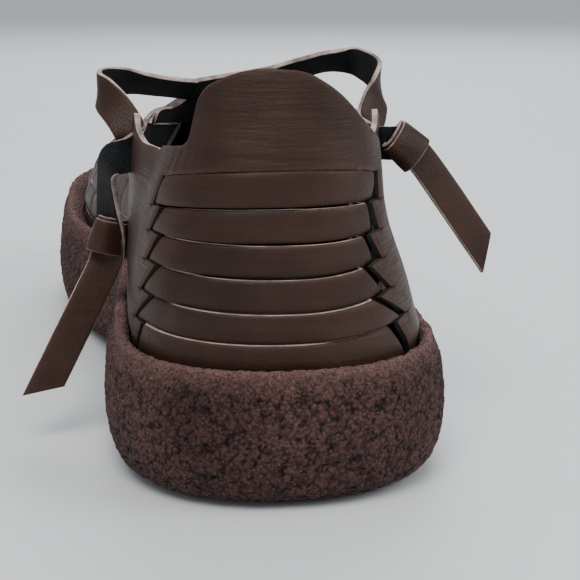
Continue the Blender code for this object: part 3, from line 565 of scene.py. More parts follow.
def mesh_object(name, points, faces, finishes, slots=None, values=None, crisp=40.0):
    """A named mesh that rides on the frame. Values are numbers kept at each point by name."""
    mesh = bpy.data.meshes.new(name)
    mesh.from_pydata((points + TO_FRAME).tolist(), [], faces)
    for finish in finishes:
        mesh.materials.append(finish)
    if slots is not None:
        mesh.polygons.foreach_set("material_index", np.asarray(slots, dtype=np.int32))
    for key, numbers in (values or {}).items():
        layer = mesh.attributes.new(key, "FLOAT", "POINT")
        layer.data.foreach_set("value", np.asarray(numbers, dtype=np.float32))
    mesh.shade_smooth()
    mesh.set_sharp_from_angle(angle=math.radians(crisp))
    mesh.validate()
    made = bpy.data.objects.new(name, mesh)
    bpy.context.scene.collection.objects.link(made)
    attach(made, "root")
    return made


def grid_faces(rows, columns, start=0, wrap=False):
    """Corners of the quads of a grid of points, in a ring where it wraps."""
    index = np.arange(rows * columns).reshape(rows, columns) + start
    if wrap:
        index = np.concatenate([index, index[:, :1]], axis=1)
    return np.stack([index[:-1, :-1], index[:-1, 1:], index[1:, 1:], index[1:, :-1]],
                    axis=-1).reshape(-1, 4)


def merged(points, quads):
    """Doubles merged and collapsed corners dropped, so that quads may become triangles."""
    key = np.round(points / 1e-6).astype(np.int64)
    _, first, same = np.unique(key, axis=0, return_index=True, return_inverse=True)
    quads = same.reshape(-1)[quads]
    after = np.roll(quads, -1, axis=1)
    distinct = quads != after
    count = distinct.sum(axis=1)
    whole = quads[count == 4]
    part = quads[count == 3]
    triangles = part[distinct[count == 3]].reshape(-1, 3)
    return first, whole, triangles


def wall(name, patches, thickness, finishes, shade_edge_patches=()):
    """Leather bands. Each patch is a grid of points with its normals. The back face lies one
    thickness behind the front along the normals, and a strip of quads closes every rim. The front
    takes the first finish, the back the second and the rim the third, or the fourth on the patches
    in shade_edge_patches, whose dark edge is painted shade for the shadow under the side bands'
    teeth."""
    points, normals, quads, wear_and_highlight, rims = [], [], [], [], []
    start = 0
    for number, (grid, normal, worn_and_lit) in enumerate(patches):
        rows, columns = grid.shape[:2]
        rims.append(np.full(rows * columns, 3 if number in shade_edge_patches else 2))
        corners = grid_faces(rows, columns, start)
        flat_points = grid.reshape(-1, 3)
        a, b, d = (flat_points[corners[:, k] - start] for k in (0, 1, 3))
        facing = np.sum(np.cross(b - a, d - a) * normal.reshape(-1, 3)[corners[:, 0] - start])
        quads.append(corners if facing > 0 else corners[:, ::-1])
        points.append(flat_points)
        normals.append(normal.reshape(-1, 3))
        wear_and_highlight.append(worn_and_lit.reshape(-1))
        start += rows * columns
    points, normals = np.concatenate(points), np.concatenate(normals)
    wear_and_highlight = np.concatenate(wear_and_highlight)
    first, whole, triangles = merged(points, np.concatenate(quads))
    points, normals, wear_and_highlight = points[first], normals[first], wear_and_highlight[first]
    rims = np.concatenate(rims)[first]
    count = len(points)
    edges = np.concatenate(
        [whole[:, [k, (k + 1) % 4]] for k in range(4)]
        + [triangles[:, [k, (k + 1) % 3]] for k in range(3)])
    codes = edges[:, 0] * count + edges[:, 1]
    back_codes = edges[:, 1] * count + edges[:, 0]
    rim = edges[~np.isin(back_codes, codes)]
    sides = np.stack([rim[:, 1], rim[:, 0], rim[:, 0] + count, rim[:, 1] + count], axis=1)
    faces = (whole.tolist() + triangles.tolist() + (whole[:, ::-1] + count).tolist()
             + (triangles[:, ::-1] + count).tolist() + sides.tolist())
    half = len(whole) + len(triangles)
    edge_slots = np.maximum(rims[rim[:, 0]], rims[rim[:, 1]])
    slots = np.concatenate([np.zeros(half), np.ones(half), edge_slots])
    every = np.concatenate([points, points - normals * thickness])
    values = {"wear_and_highlight": np.concatenate([wear_and_highlight, wear_and_highlight])}
    return mesh_object(name, every, faces, finishes, slots, values)


def rubbed_and_lit(across, width=0.2):
    """Wear and painted highlight of a band: nothing inside, growing over the outer share of its
    half width.
    """
    return np.clip((np.abs(across) - (1 - width)) / width, 0, 1) * 0.5


def rolled(across):
    """How far a band's face turns in at its edges: nothing inside, growing with the square."""
    return -sizes().edge_roll * np.clip((np.abs(across) - 0.80) / 0.20, 0, 1) ** 2


def creased(way, height):
    """Sum of the counter's creases: each a soft trough, a bell curve across it and a flatter one
    along it, with a low ridge on either side."""
    arc = way * (HEEL_WIDTH / 2 - HEEL_INSET) * math.pi / 180
    total = np.zeros(np.shape(way))
    for at, share, turn, long, wide, deep in CREASES:
        place = at * (HEEL_WIDTH / 2 - HEEL_INSET) * math.pi / 180
        turn = math.radians(turn)
        dx, dz = (arc - place) / MM, (height - share * TAB_HEIGHT) / MM
        s = dx * math.cos(turn) + dz * math.sin(turn)
        t = (dz * math.cos(turn) - dx * math.sin(turn)) / wide
        total -= deep * MM * (1 - 0.7 * t * t) * np.exp(-t * t) * np.exp(-(s / long) ** 4)
    return total


def faced(flat, lift):
    """Points of the upper's face at a lift over it, with their normals."""
    normal = outward(flat)
    return surface(flat) + normal * lift[..., None], normal


def tree(name):
    """A new material's nodes with its shader."""
    finish = bpy.data.materials.new(name)
    finish.use_nodes = True
    return finish, finish.node_tree, finish.node_tree.nodes["Principled BSDF"]


def feed(nodes, socket, value):
    """Sets an input to a number or colour, or links the socket that feeds it."""
    if isinstance(value, bpy.types.NodeSocket):
        nodes.links.new(value, socket)
    else:
        socket.default_value = (*value, 1.0) if socket.type == "RGBA" else value


def node(nodes, kind, settings=None, **inputs):
    """A new node. Its inputs go by name, or by an i and their number."""
    made = nodes.nodes.new(kind)
    for key, value in (settings or {}).items():
        setattr(made, key, value)
    for key, value in inputs.items():
        feed(nodes, made.inputs[int(key[1:]) if key[1:].isdigit() else key], value)
    return made


def dressed(finish, nodes, shader, **inputs):
    """The finish with its shader's inputs fed. An underscore stands for a space."""
    for key, value in inputs.items():
        feed(nodes, shader.inputs[key.replace("_", " ")], value)
    return finish


def stretched(nodes, scale=(1, 1, 1)):
    """Object coordinates, stretched by a scale on each axis."""
    place = node(nodes, "ShaderNodeTexCoord").outputs["Object"]
    return node(nodes, "ShaderNodeMapping", Vector=place, Scale=scale).outputs["Vector"]


def noise(nodes, place, scale, detail=2.0, roughness=0.5):
    return node(nodes, "ShaderNodeTexNoise", Vector=place, Scale=scale, Detail=detail,
                Roughness=roughness).outputs["Fac"]


def cells_of(nodes, place, scale):
    return node(nodes, "ShaderNodeTexVoronoi", Vector=place, Scale=scale).outputs["Distance"]


def kept(nodes, name):
    """The numbers of that name that the mesh keeps at its points."""
    return node(nodes, "ShaderNodeAttribute", {"attribute_name": name}).outputs["Fac"]


def warped(nodes, place, scale, amount):
    """A place shifted by noise, so that round cells become curled and uneven."""
    wave = node(nodes, "ShaderNodeTexNoise", Vector=place, Scale=scale, Detail=2.0).outputs["Color"]
    return node(nodes, "ShaderNodeVectorMath", {"operation": "MULTIPLY_ADD"}, i0=wave,
                i1=(amount, amount, amount), i2=place).outputs[0]


def span(nodes, value, low, high, start=0.0, end=1.0):
    """A value between low and high carried to between start and end."""
    return node(nodes, "ShaderNodeMapRange", i0=value, i1=low, i2=high, i3=start,
                i4=end).outputs["Result"]


def blend(nodes, share, first, second, how="MIX"):
    return node(nodes, "ShaderNodeMix", {"data_type": "RGBA", "blend_type": how}, i0=share,
                i6=first, i7=second).outputs[2]


def bump(nodes, height, distance, strength=1.0, **under):
    return node(nodes, "ShaderNodeBump", Height=height, Distance=distance, Strength=strength,
                **under).outputs["Normal"]


def scaled(colour, factor):
    return tuple(factor * value for value in colour)


def leather_finish(name, level_lines):
    """Smooth brown leather: cloudy colour, fine grain, faint level lines, and edges lightened for
    wear and as painted highlight where they curl.
    """
    finish, nodes, shader = tree(name)
    place, tint = stretched(nodes), colours()
    clouds = noise(nodes, place, CLOUDS, 3.0)
    streaks = noise(nodes, stretched(nodes, STREAKS), 1.0, 3.0)
    mixed = blend(nodes, span(nodes, clouds, 0.36, 0.66), tint.leather, tint.leather_light)
    mixed = blend(nodes, span(nodes, streaks, 0.50, 0.72, 0.0, 0.35), mixed,
                  scaled(tint.leather, 0.62))
    # Wear and painted highlight: edges and tooth tips lightened in patches
    worn_and_lit = node(nodes, "ShaderNodeMath", {"operation": "MULTIPLY"}, i0=kept(nodes, "wear_and_highlight"),
                i1=noise(nodes, place, WEAR_HIGHLIGHT_PATCHES, 3.0))
    mixed = blend(nodes, worn_and_lit.outputs[0], mixed, scaled(tint.leather_light, 2.4))
    gloss = span(nodes, noise(nodes, place, GLOSS, 4.0), 0.3, 0.7, *LEATHER_ROUGHNESS)
    under = bump(nodes, noise(nodes, stretched(nodes, LEVEL_LINES), 1.0, 4.0, 0.6), 0.0011,
                 level_lines)
    under = bump(nodes, noise(nodes, place, GRAIN), 0.00018, 0.55, Normal=under)
    under = bump(nodes, cells_of(nodes, place, PORES), 0.00012, 0.5, Normal=under)
    return dressed(finish, nodes, shader, Base_Color=mixed, Roughness=gloss, Normal=under,
                   Specular_IOR_Level=LEATHER_SPECULAR)


def suede_finish(name):
    """Black flesh side: short blue grey fibres on black, matt, with a fine nap."""
    finish, nodes, shader = tree(name)
    place, tint = stretched(nodes), colours()
    nap = noise(nodes, place, NAP, 4.0, 0.7)
    patches = noise(nodes, place, NAP_PATCHES, 3.0)
    mixed = blend(nodes, span(nodes, nap, 0.48, 0.72, 0.0, 0.9), tint.suede, tint.suede_light)
    mixed = blend(nodes, span(nodes, patches, 0.45, 0.7, 0.0, 0.5), mixed, tint.suede)
    return dressed(finish, nodes, shader, Base_Color=mixed, Normal=bump(nodes, nap, 0.0005, 0.7),
                   Roughness=0.95, Specular_IOR_Level=0.15, Sheen_Weight=0.05,
                   Sheen_Roughness=0.6)


def edge_finish(name, paleness):
    """Raw edge of cut leather, fibrous and darker in places; pale, and at a small paleness near
    black, the painted shade of the shadow under the side bands' teeth.
    """
    finish, nodes, shader = tree(name)
    pale = scaled(colours().cut_edge, paleness)
    dull = scaled(pale, 0.30)
    patches = noise(nodes, stretched(nodes), EDGE_PATCHES, 4.0)
    fibres = noise(nodes, stretched(nodes, EDGE_FIBRES), 1.0, 3.0)
    mixed = blend(nodes, span(nodes, patches, 0.44, 0.66), pale, dull)
    mixed = blend(nodes, span(nodes, fibres, 0.45, 0.75, 0.0, 0.6), mixed, dull)
    return dressed(finish, nodes, shader, Base_Color=mixed, Roughness=0.85,
                   Normal=bump(nodes, fibres, 0.0003, 0.5))


def foam_finish(name):
    """Crumbed foam: crumb tops painted as lit over painted shade in the hollows between them, with
    pale flecks painted as highlights on the fine grit; dusty and matt, paler on the lip.
    """
    finish, nodes, shader = tree(name)
    place, tint = stretched(nodes), colours()
    fine = noise(nodes, place, GRIT, 4.0, 0.65)
    broad = noise(nodes, place, FOAM_PATCHES, 3.0)
    cells = cells_of(nodes, warped(nodes, place, FOAM_CURL, 0.0005), FOAM_CELLS)
    # Painted light: the middles of the cells are painted as lit crumb tops
    tops = span(nodes, cells, 0.15, 0.85, 1.0, 0.0)
    both = node(nodes, "ShaderNodeMath", {"operation": "MULTIPLY_ADD"}, i0=tops, i1=0.75,
                i2=kept(nodes, "crumb"))
    # Painted shade and light: the hollows get the near black colour, the crumb tops the lit foam
    # colour
    mixed = blend(nodes, span(nodes, both.outputs[0], 0.55, 1.30), tint.foam_painted_shade, tint.foam)
    # Painted highlight: pale flecks on the fine grit
    mixed = blend(nodes, span(nodes, fine, 0.60, 0.74, 0.0, 0.55), mixed, scaled(tint.foam, 2.1))
    redder = tuple(value * factor for value, factor in zip(tint.foam, (0.90, 0.62, 0.60)))
    mixed = blend(nodes, span(nodes, broad, 0.42, 0.66, 0.0, 0.45), mixed, redder, "MULTIPLY")
    dusty = tuple(1.45 * value + 0.022 for value in tint.foam)
    mixed = blend(nodes, kept(nodes, "lip"), mixed, dusty)
    under = bump(nodes, fine, 0.0009, Normal=bump(nodes, tops, 0.0016))
    return dressed(finish, nodes, shader, Base_Color=mixed, Normal=under, Roughness=0.92,
                   Specular_IOR_Level=0.2, Sheen_Weight=0.08, Sheen_Roughness=0.5)


def footbed_finish(name):
    """Matt black footbed with a fine grain."""
    finish, nodes, shader = tree(name)
    nap = noise(nodes, stretched(nodes), BED_NAP, 4.0)
    mixed = blend(nodes, span(nodes, nap, 0.4, 0.7), colours().suede, colours().suede_light)
    return dressed(finish, nodes, shader, Base_Color=mixed, Roughness=0.8,
                   Normal=bump(nodes, nap, 0.0004, 0.5))


FINISHES = {
    "counter_leather": (leather_finish, 0.5),
    "band_leather": (leather_finish, 0.12),
    "strap_leather": (leather_finish, 0.05),
    "black_suede": (suede_finish,),
    "cut_edge": (edge_finish, 1.0),
    # Painted shade: a near black edge standing for the shadow under the side bands' teeth
    "painted_shade_edge": (edge_finish, 0.05),
    "crumbed_foam": (foam_finish,),
    "footbed_black": (footbed_finish,),
}


def finish_named(kind):
    """The finish of that name, made once."""
    maker, *more = FINISHES[kind]
    return bpy.data.materials.get(kind) or maker(kind, *more)


def band_finishes(front="band_leather"):
    return [finish_named(front), finish_named("black_suede"), finish_named("cut_edge")]


def side_way(side, along):
    """The way at a place along between the heel's centre and the toe's."""
    return side * (90 + 100 * (along - HEEL_CENTRE) / (TOE_CENTRE - HEEL_CENTRE))


def weave_tables():
    """For each side, the share of the ray at every place along and every band count from the
    middle: the wall's length from ridge to rim in each section is shared among the bands."""
    along = np.linspace(WEAVE_BACK, TOE_CENTRE, 114)
    bands = np.linspace(0, 6.3, 64)
    shares = np.linspace(0, 1, 121)
    tables = {}
    for side in (-1, 1):
        way = side_way(side, along)
        ways = np.repeat(way[:, None], len(shares), axis=1)
        section = surface(flat_at(ways, share=np.broadcast_to(shares, ways.shape)))
        steps = np.linalg.norm(np.diff(section, axis=1), axis=2)
        lengths = np.concatenate([np.zeros((len(along), 1)), np.cumsum(steps, axis=1)], axis=1)
        rims = rim_height(way)
        to_rim = np.array([np.interp(-rim, -heights, length) for rim, heights, length
                           in zip(rims, section[..., 2], lengths)])
        full = np.where(along < WEAVE_FULL, np.interp(WEAVE_FULL, along, to_rim), to_rim)
        target = to_rim[:, None] - (BANDS_TO_RIM - bands) * full[:, None] / BANDS_TO_RIM
        tables[side] = np.array([np.interp(row, length, shares) for row, length
                                 in zip(target, lengths)])
    return along, bands, tables


WEAVE_ALONG, WEAVE_BANDS, WEAVE_SHARES = weave_tables()


def weave(count, along):
    """Flattened point at a band count from the middle and a place along, from the tables by
    straight lines between their entries."""
    count, along = np.broadcast_arrays(np.asarray(count, float), np.asarray(along, float))
    inside_toe = np.minimum(along, TOE_CENTRE)
    row = np.interp(inside_toe, WEAVE_ALONG, np.arange(len(WEAVE_ALONG)))
    column = np.interp(np.abs(count), WEAVE_BANDS, np.arange(len(WEAVE_BANDS)))
    i = np.clip(row.astype(int), 0, len(WEAVE_ALONG) - 2)
    j = np.clip(column.astype(int), 0, len(WEAVE_BANDS) - 2)
    u, v = row - i, column - j
    side = np.where(count < 0, -1, 1)

    def entry(a, b):
        return np.where(side < 0, WEAVE_SHARES[-1][a, b], WEAVE_SHARES[1][a, b])

    share = ((1 - u) * ((1 - v) * entry(i, j) + v * entry(i, j + 1))
             + u * ((1 - v) * entry(i + 1, j) + v * entry(i + 1, j + 1)))
    flat = flat_at(side_way(side, inside_toe), share=share)
    return np.stack([flat[..., 0], along * LENGTH], axis=-1)


def throat_line(steps=160):
    """The throat's edge on the flattened upper from one notch over the vamp's back to the other,
    evenly spaced, as a cubic through the table's places."""
    rows = np.array(THROAT)
    outer = flat_at(rows[:, 0], height=rows[:, 1] * TAB_HEIGHT)
    inner = flat_at(-rows[:, 0], height=rows[:, 1] * TAB_HEIGHT)
    back = flat_at(np.array([VAMP_BACK_WAY]), share=np.array([0.0]))
    return even_curve(np.concatenate([inner, back, outer[::-1]]), steps)


def cubic(p0, p1, p2, p3, t):
    """A Catmull-Rom curve from the second to the third of four points."""
    return 0.5 * (2 * p1 + (p2 - p0) * t + (2 * p0 - 5 * p1 + 4 * p2 - p3) * t ** 2
                  + (3 * p1 - p0 - 3 * p2 + p3) * t ** 3)


def even_curve(rows, steps):
    """A Catmull-Rom curve through the rows, read at even distances along its first three or two
    columns."""
    rows = np.asarray(rows, dtype=float)
    padded = np.concatenate([2 * rows[:1] - rows[1:2], rows, 2 * rows[-1:] - rows[-2:-1]])
    t = np.linspace(0, 1, 24, endpoint=False)[None, :, None]
    dense = cubic(*(padded[k:len(rows) - 1 + k, None] for k in range(4)), t)
    dense = np.concatenate([dense.reshape(-1, rows.shape[1]), rows[-1:]])
    run = np.linalg.norm(np.diff(dense[:, :min(3, rows.shape[1])], axis=0), axis=1)
    length = np.concatenate([[0], np.cumsum(run)])
    at = np.linspace(0, length[-1], steps)
    return np.stack([np.interp(at, length, column) for column in dense.T], axis=1)


def opening():
    """Closed outline of the collar and throat on the flattened upper."""
    notch = ((105.6, 0.760), (105.0, 0.650), (105.0, 0.560))
    outer = np.array((*COLLAR_OUTER, *notch))
    inner = np.array((*COLLAR_INNER, *notch))[::-1]
    return np.concatenate([
        flat_at(outer[:, 0], height=outer[:, 1] * TAB_HEIGHT), throat_line(80)[::-1],
        flat_at(-inner[:, 0], height=inner[:, 1] * TAB_HEIGHT)])


def inside(loop, points):
    """Which points lie inside a closed loop, by counting the edges to their right."""
    a, b = np.asarray(loop), np.roll(loop, -1, axis=0)
    x, y = points[..., 0, None], points[..., 1, None]
    cross = (a[:, 1] > y) != (b[:, 1] > y)
    run = np.where(b[:, 1] == a[:, 1], 1.0, b[:, 1] - a[:, 1])
    hit = x < a[:, 0] + (y - a[:, 1]) * (b[:, 0] - a[:, 0]) / run
    return (cross & hit).sum(axis=-1) % 2 == 1


def first_count(mask, counts):
    """In each column the count of the first row that holds, or 0 where none does."""
    return np.where(mask.any(axis=0), counts[np.argmax(mask, axis=0)], 0.0)


def band_spans():
    """Where each lengthwise line of the weave starts and ends: behind at the throat or under the
    side band, in front where it has gone down into the sole. Then the same for crosswise lines,
    out to the rim, and how near the middle they come."""
    counts = np.linspace(-6.2, 6.2, 249)
    places = np.linspace(WEAVE_BACK, 1.19, 480)
    grid = weave(counts[:, None], places[None, :])
    way, share = way_of(grid)
    above = (surface(grid)[..., 2] > rim_height(way) - TUCK) & (share < 1.0)
    in_throat = inside(opening(), grid) & (places < 0.45)
    last = len(places) - 1 - np.argmax(above[:, ::-1], axis=1)
    behind = np.where(in_throat.any(axis=1), len(places) - np.argmax(in_throat[:, ::-1], axis=1), 0)
    start = places[np.clip(behind, 0, len(places) - 1)]
    end = np.where(above.any(axis=1), places[last], places[0])
    right, left = counts > 0, counts < 0
    widest, nearest = (
        np.stack([first_count(mask[left], counts[left]),
                  first_count(mask[right][::-1], counts[right][::-1])])
        for mask in (above & ~in_throat, in_throat))
    return counts, start, end, places, widest, nearest


def woven_lift(cell, first_over):
    """Rise and dip of a band along its crossings: a sine with flattened tops, one half wave to
    each crossing."""
    wave = signed_power(np.sin(np.pi * cell), 0.6) * (1 if first_over else -1)
    return wave * sizes().weave_height + WOVEN_LIFT + rolled(ACROSS)[:, None]


def cells_along(at, lines, before, after):
    """Cells passed since the first line: whole numbers at the lines, and beyond the first and the
    last line in steps of the widths before and after."""
    cells = np.interp(at, lines, np.arange(len(lines)))
    cells = np.where(at < lines[0], (at - lines[0]) / before, cells)
    return np.where(at > lines[-1], len(lines) - 1 + (at - lines[-1]) / after, cells)


def held_down(flat, lift):
    """A lift that sinks to the wall's own face where the band goes down into the sole."""
    way, _ = way_of(flat)
    share = ease((surface(flat)[..., 2] - rim_height(way) - 0.0004) / 0.0035)
    return lift * share + np.minimum(lift, 0.0001) * (1 - share)


def patch(flat, lift, wear_and_highlight):
    return *faced(flat, lift), wear_and_highlight


def woven_patch(count, along, lift):
    """A patch of the vamp's bands at band counts from the middle and places along."""
    flat = weave(count, along)
    return patch(flat, held_down(flat, lift),
                 np.broadcast_to(rubbed_and_lit(ACROSS)[:, None], flat.shape[:2]))


class WOVENSHOE_OT_stage(bpy.types.Operator):
    """Adds the camera, the pale floor and the soft studio lights"""

    bl_idname = "woven_shoe.stage"
    bl_label = "Camera, Floor and Lights"

    def execute(self, context):
        scene = context.scene
        lens = bpy.data.cameras.new("camera")
        lens.sensor_width = SENSOR
        lens.lens = CAMERA_LENS
        lens.clip_start = 0.01
        lens.clip_end = 30.0
        camera = bpy.data.objects.new("camera", lens)
        camera.location = np.array(CAMERA_PLACE) * MM + TO_FRAME
        camera.rotation_euler = Vector(CAMERA_SLOPE).to_track_quat("-Z", "Y").to_euler()
        scene.collection.objects.link(camera)
        scene.camera = camera

        reach = 6.0
        mesh = bpy.data.meshes.new("studio_floor")
        mesh.from_pydata([(-reach, -reach, 0), (reach, -reach, 0), (reach, reach, 0),
                          (-reach, reach, 0)], [], [(0, 1, 2, 3)])
        floor = bpy.data.objects.new("studio_floor", mesh)
        scene.collection.objects.link(floor)
        finish, nodes, shader = tree("studio_floor")
        pale = colours().floor
        mixed = blend(nodes, noise(nodes, stretched(nodes), 3.0), pale, scaled(pale, 1.04))
        mesh.materials.append(dressed(finish, nodes, shader, Base_Color=mixed, Roughness=0.6))

        world = bpy.data.worlds.new("studio")
        world.use_nodes = True
        light = world.node_tree.nodes["Background"]
        light.inputs["Color"].default_value = (0.86, 0.90, 0.94, 1.0)
        light.inputs["Strength"].default_value = 0.62
        scene.world = world

        aim = Vector((0.0, -0.04, 0.05))
        for name, place, width, power, tint in (
            ("key", (-0.30, -0.80, 1.30), 0.9, 15.0, (1.0, 0.985, 0.96)),
            ("fill", (1.05, -0.45, 0.75), 0.9, 7.0, (0.95, 0.98, 1.0)),
            ("back", (0.25, 1.15, 0.95), 1.1, 11.0, (0.96, 0.98, 1.0)),
        ):
            lamp = bpy.data.lights.new(name, "AREA")
            lamp.shape = "DISK"
            lamp.size = width
            lamp.energy = power
            lamp.color = tint
            made = bpy.data.objects.new(name, lamp)
            made.location = place
            made.rotation_euler = (aim - Vector(place)).to_track_quat("-Z", "Y").to_euler()
            scene.collection.objects.link(made)
        return {"FINISHED"}


def strap(name, rows, face=1, slant=0.0, steps=90, width=None, turned=2.0, cut=True):
    """A flat strap carried along a smooth route: at each place a thin rounded rectangle stands
    square to the route, its long side along the row's direction of width. The slant shifts one
    corner of its far end along the route. Past the share turned, it shows its other face. Only
    a strap that is cut has a pale far end."""
    size = sizes()
    path = even_curve(rows, steps)
    centre = path[:, :3] * MM
    run = np.gradient(centre, axis=0)
    run /= np.linalg.norm(run, axis=1, keepdims=True)
    wide = path[:, 3:] - run * np.sum(path[:, 3:] * run, axis=1, keepdims=True)
    wide /= np.linalg.norm(wide, axis=1, keepdims=True) * face
    thick = np.cross(run, wide)
    u, v = np.array(STRAP_SECTION).T
    around = len(u)
    slid = slant * ease(np.linspace(-9, 1, steps))[:, None] * u
    points = (centre[:, None] + wide[:, None] * (u * (width or size.lace_width) / 2)[:, None]
              + thick[:, None] * (v * size.lace_thickness / 2)[:, None]
              + run[:, None] * slid[..., None])
    quads = grid_faces(steps, around, wrap=True)
    k = np.arange(len(quads)) % around
    over = (np.arange(len(quads)) // around) > turned * steps
    slots = np.where(k < STRAP_FRONT, over, np.where(
        (k >= STRAP_BACK) & (k < STRAP_BACK + STRAP_FRONT), ~over, 2))
    ends = [list(range(around)), list(range(steps * around - 1, (steps - 1) * around - 1, -1))]
    flat_points = points.reshape(-1, 3)
    faces = quads.tolist() + ends
    a, b, c = (flat_points[quads[:, j]] for j in (0, 1, 3))
    out = np.sum(np.cross(b - a, c - a) * (a - np.repeat(centre, around, axis=0)[quads[:, 0]]))
    if out < 0:
        faces = [corners[::-1] for corners in faces]
    made = mesh_object(name, flat_points, faces, band_finishes("strap_leather"),
                       np.append(slots, [1, 2 if cut else 1]),
                       {"wear_and_highlight": np.tile(rubbed_and_lit(u, 0.3), steps)}, crisp=55.0)
    return made, centre + TO_FRAME


def knot_rows(place, heading, across):
    """Route of a knot's wrap, in millimetres: a squared spiral round the strap that grows a little
    with each turn and climbs along it."""
    heading = np.array(heading) / np.linalg.norm(heading)
    across = np.array(across) - heading * np.dot(across, heading)
    across /= np.linalg.norm(across)
    third = np.cross(heading, across)
    turn = np.linspace(KNOT_START, KNOT_START + 2 * np.pi * KNOT_TURNS, 40)
    grown = 1 + KNOT_GROWTH * turn / (2 * np.pi)
    wide = signed_power(np.cos(turn), KNOT_SQUARE) * KNOT_HALF_WIDTH * grown
    deep = signed_power(np.sin(turn), KNOT_SQUARE) * KNOT_HALF_DEPTH * grown
    climb = (turn / turn[-1] - 0.5) * KNOT_CLIMB
    centre = (np.array(place) + across * wide[:, None] + third * deep[:, None]
              + heading * climb[:, None])
    lean = heading + across * KNOT_LEAN * np.sin(turn)[:, None]
    return np.concatenate([centre, lean], axis=1)


class WOVENSHOE_OT_lace(bpy.types.Operator):
    """Adds the flat lace: its crossing, a side each through the ears, and the two knots"""

    bl_idname = "woven_shoe.lace"
    bl_label = "Lace and Knots"

    def execute(self, context):
        crossing, _ = strap("lace_over_tongue", CROSSING, face=-1, steps=30, cut=False)
        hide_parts("lace_crossing")
        for side, rows, knot, face, turned in (("inner", LACE_INNER, KNOT_INNER, 1, 0.645),
                                               ("outer", LACE_OUTER, KNOT_OUTER, -1, 0.62)):
            wrap, _ = strap(f"knot_{side}", knot_rows(*knot), steps=70, width=KNOT_STRAP_WIDTH)
            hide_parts(f"lace_knot_{side}")
            cord, path = strap(f"lace_{side}", rows, face, LACE_SLANT, steps=150, turned=turned)
            solids = [f"lace_loop_{side}", f"lace_tail_{side}"]
            if side == "inner":
                solids.append("lace_lead_inner")
            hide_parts(*solids)
        return {"FINISHED"}


class WOVENSHOE_OT_counter(bpy.types.Operator):
    """Adds the heel counter: the tab and both side bands with their toothed edges and ears"""

    bl_idname = "woven_shoe.counter"
    bl_label = "Heel Counter"

    def execute(self, context):
        front = BAND_FRONT_WAY
        (inner, _), (outer, _) = tooth_ways(-1), tooth_ways(1)
        share = np.concatenate([np.linspace(0, 0.94, 34), [0.965, 0.985, 1.0]])
        ways = np.concatenate([
            -(inner[0] + (front - inner[0]) * share[::-1]),
            np.linspace(-inner[0], outer[0], 96)[1:-1],
            outer[0] + (front - outer[0]) * share])
        rows = np.concatenate([[0, 0.012, 0.04], np.linspace(0.08, 0.95, 26), [0.98, 0.993, 1.0]])
        low = slit_height(SLITS[0], ways)
        high = collar_height(ways)
        heights = low + (high - low) * rows[:, None]
        ways = np.broadcast_to(ways, heights.shape)
        over_strip = np.abs(ways) < np.where(ways < 0, inner[0], outer[0])
        low_edge = np.where(over_strip, (heights - low) / MM, FAR)
        near = np.minimum(np.minimum((high - heights) / MM, (front - np.abs(ways)) * MM_AT_EAR),
                          low_edge)
        lift = self.lift(near) + creased(ways, heights)
        patches = [patch(flat_at(ways, height=heights), lift, self.wear_and_highlight(near))]
        patches += [self.side_band(side, share) for side in (-1, 1)]
        # The side bands' rims get the dark edge, painted shade for the shadow under their teeth
        made = wall("heel_counter", patches, sizes().band_thickness * 1.15,
                    [*band_finishes("counter_leather"), finish_named("painted_shade_edge")], shade_edge_patches=(1, 2))
        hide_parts("woven_upper")
        return {"FINISHED"}

    def lift(self, near):
        """Lift over the wall, rolled in over the last millimetre before an edge."""
        roll = np.clip(1 - near / 1.1, 0, 1) ** 2
        return sizes().counter_lift - 0.0004 * roll

    # Wear and painted highlight: lighter within 1.2 mm of an edge, at the tooth tips too
    def wear_and_highlight(self, near):
        return np.clip(1 - near / 1.2, 0, 1) * 0.6

    def side_band(self, side, share):
        """Grid of one side band: its rows go down tooth by tooth, and each runs from the tooth's
        slanted back edge to the band's front."""
        tops, lows = tooth_ways(side)
        down = np.linspace(0, 1, 9)[:, None]
        rows = []
        for k in range(len(SLITS)):
            back = tops[k] + (lows[k] - tops[k]) * down
            ways = back + (BAND_FRONT_WAY - back) * share
            top = slit_height(SLITS[k], side * ways) - (TOOTH_GAP if k else 0.0)
            if k == len(SLITS) - 1:
                low = rim_height(side * ways) - TUCK
            else:
                low = slit_height(SLITS[k + 1], side * ways)
            height = top + (low - top) * down
            level = np.where(ways < (lows[k - 1] if k else 0), (top - height) / MM, FAR)
            rows.append((ways, height, np.minimum((ways - back) * MM_AT_TOOTH, level)))
        ways, height, near = (np.concatenate(column) for column in zip(*rows))
        near = np.minimum(near, (BAND_FRONT_WAY - ways) * MM_AT_EAR)
        flat = flat_at(side * ways, height=height)
        return patch(flat, held_down(flat, self.lift(near)), self.wear_and_highlight(near))


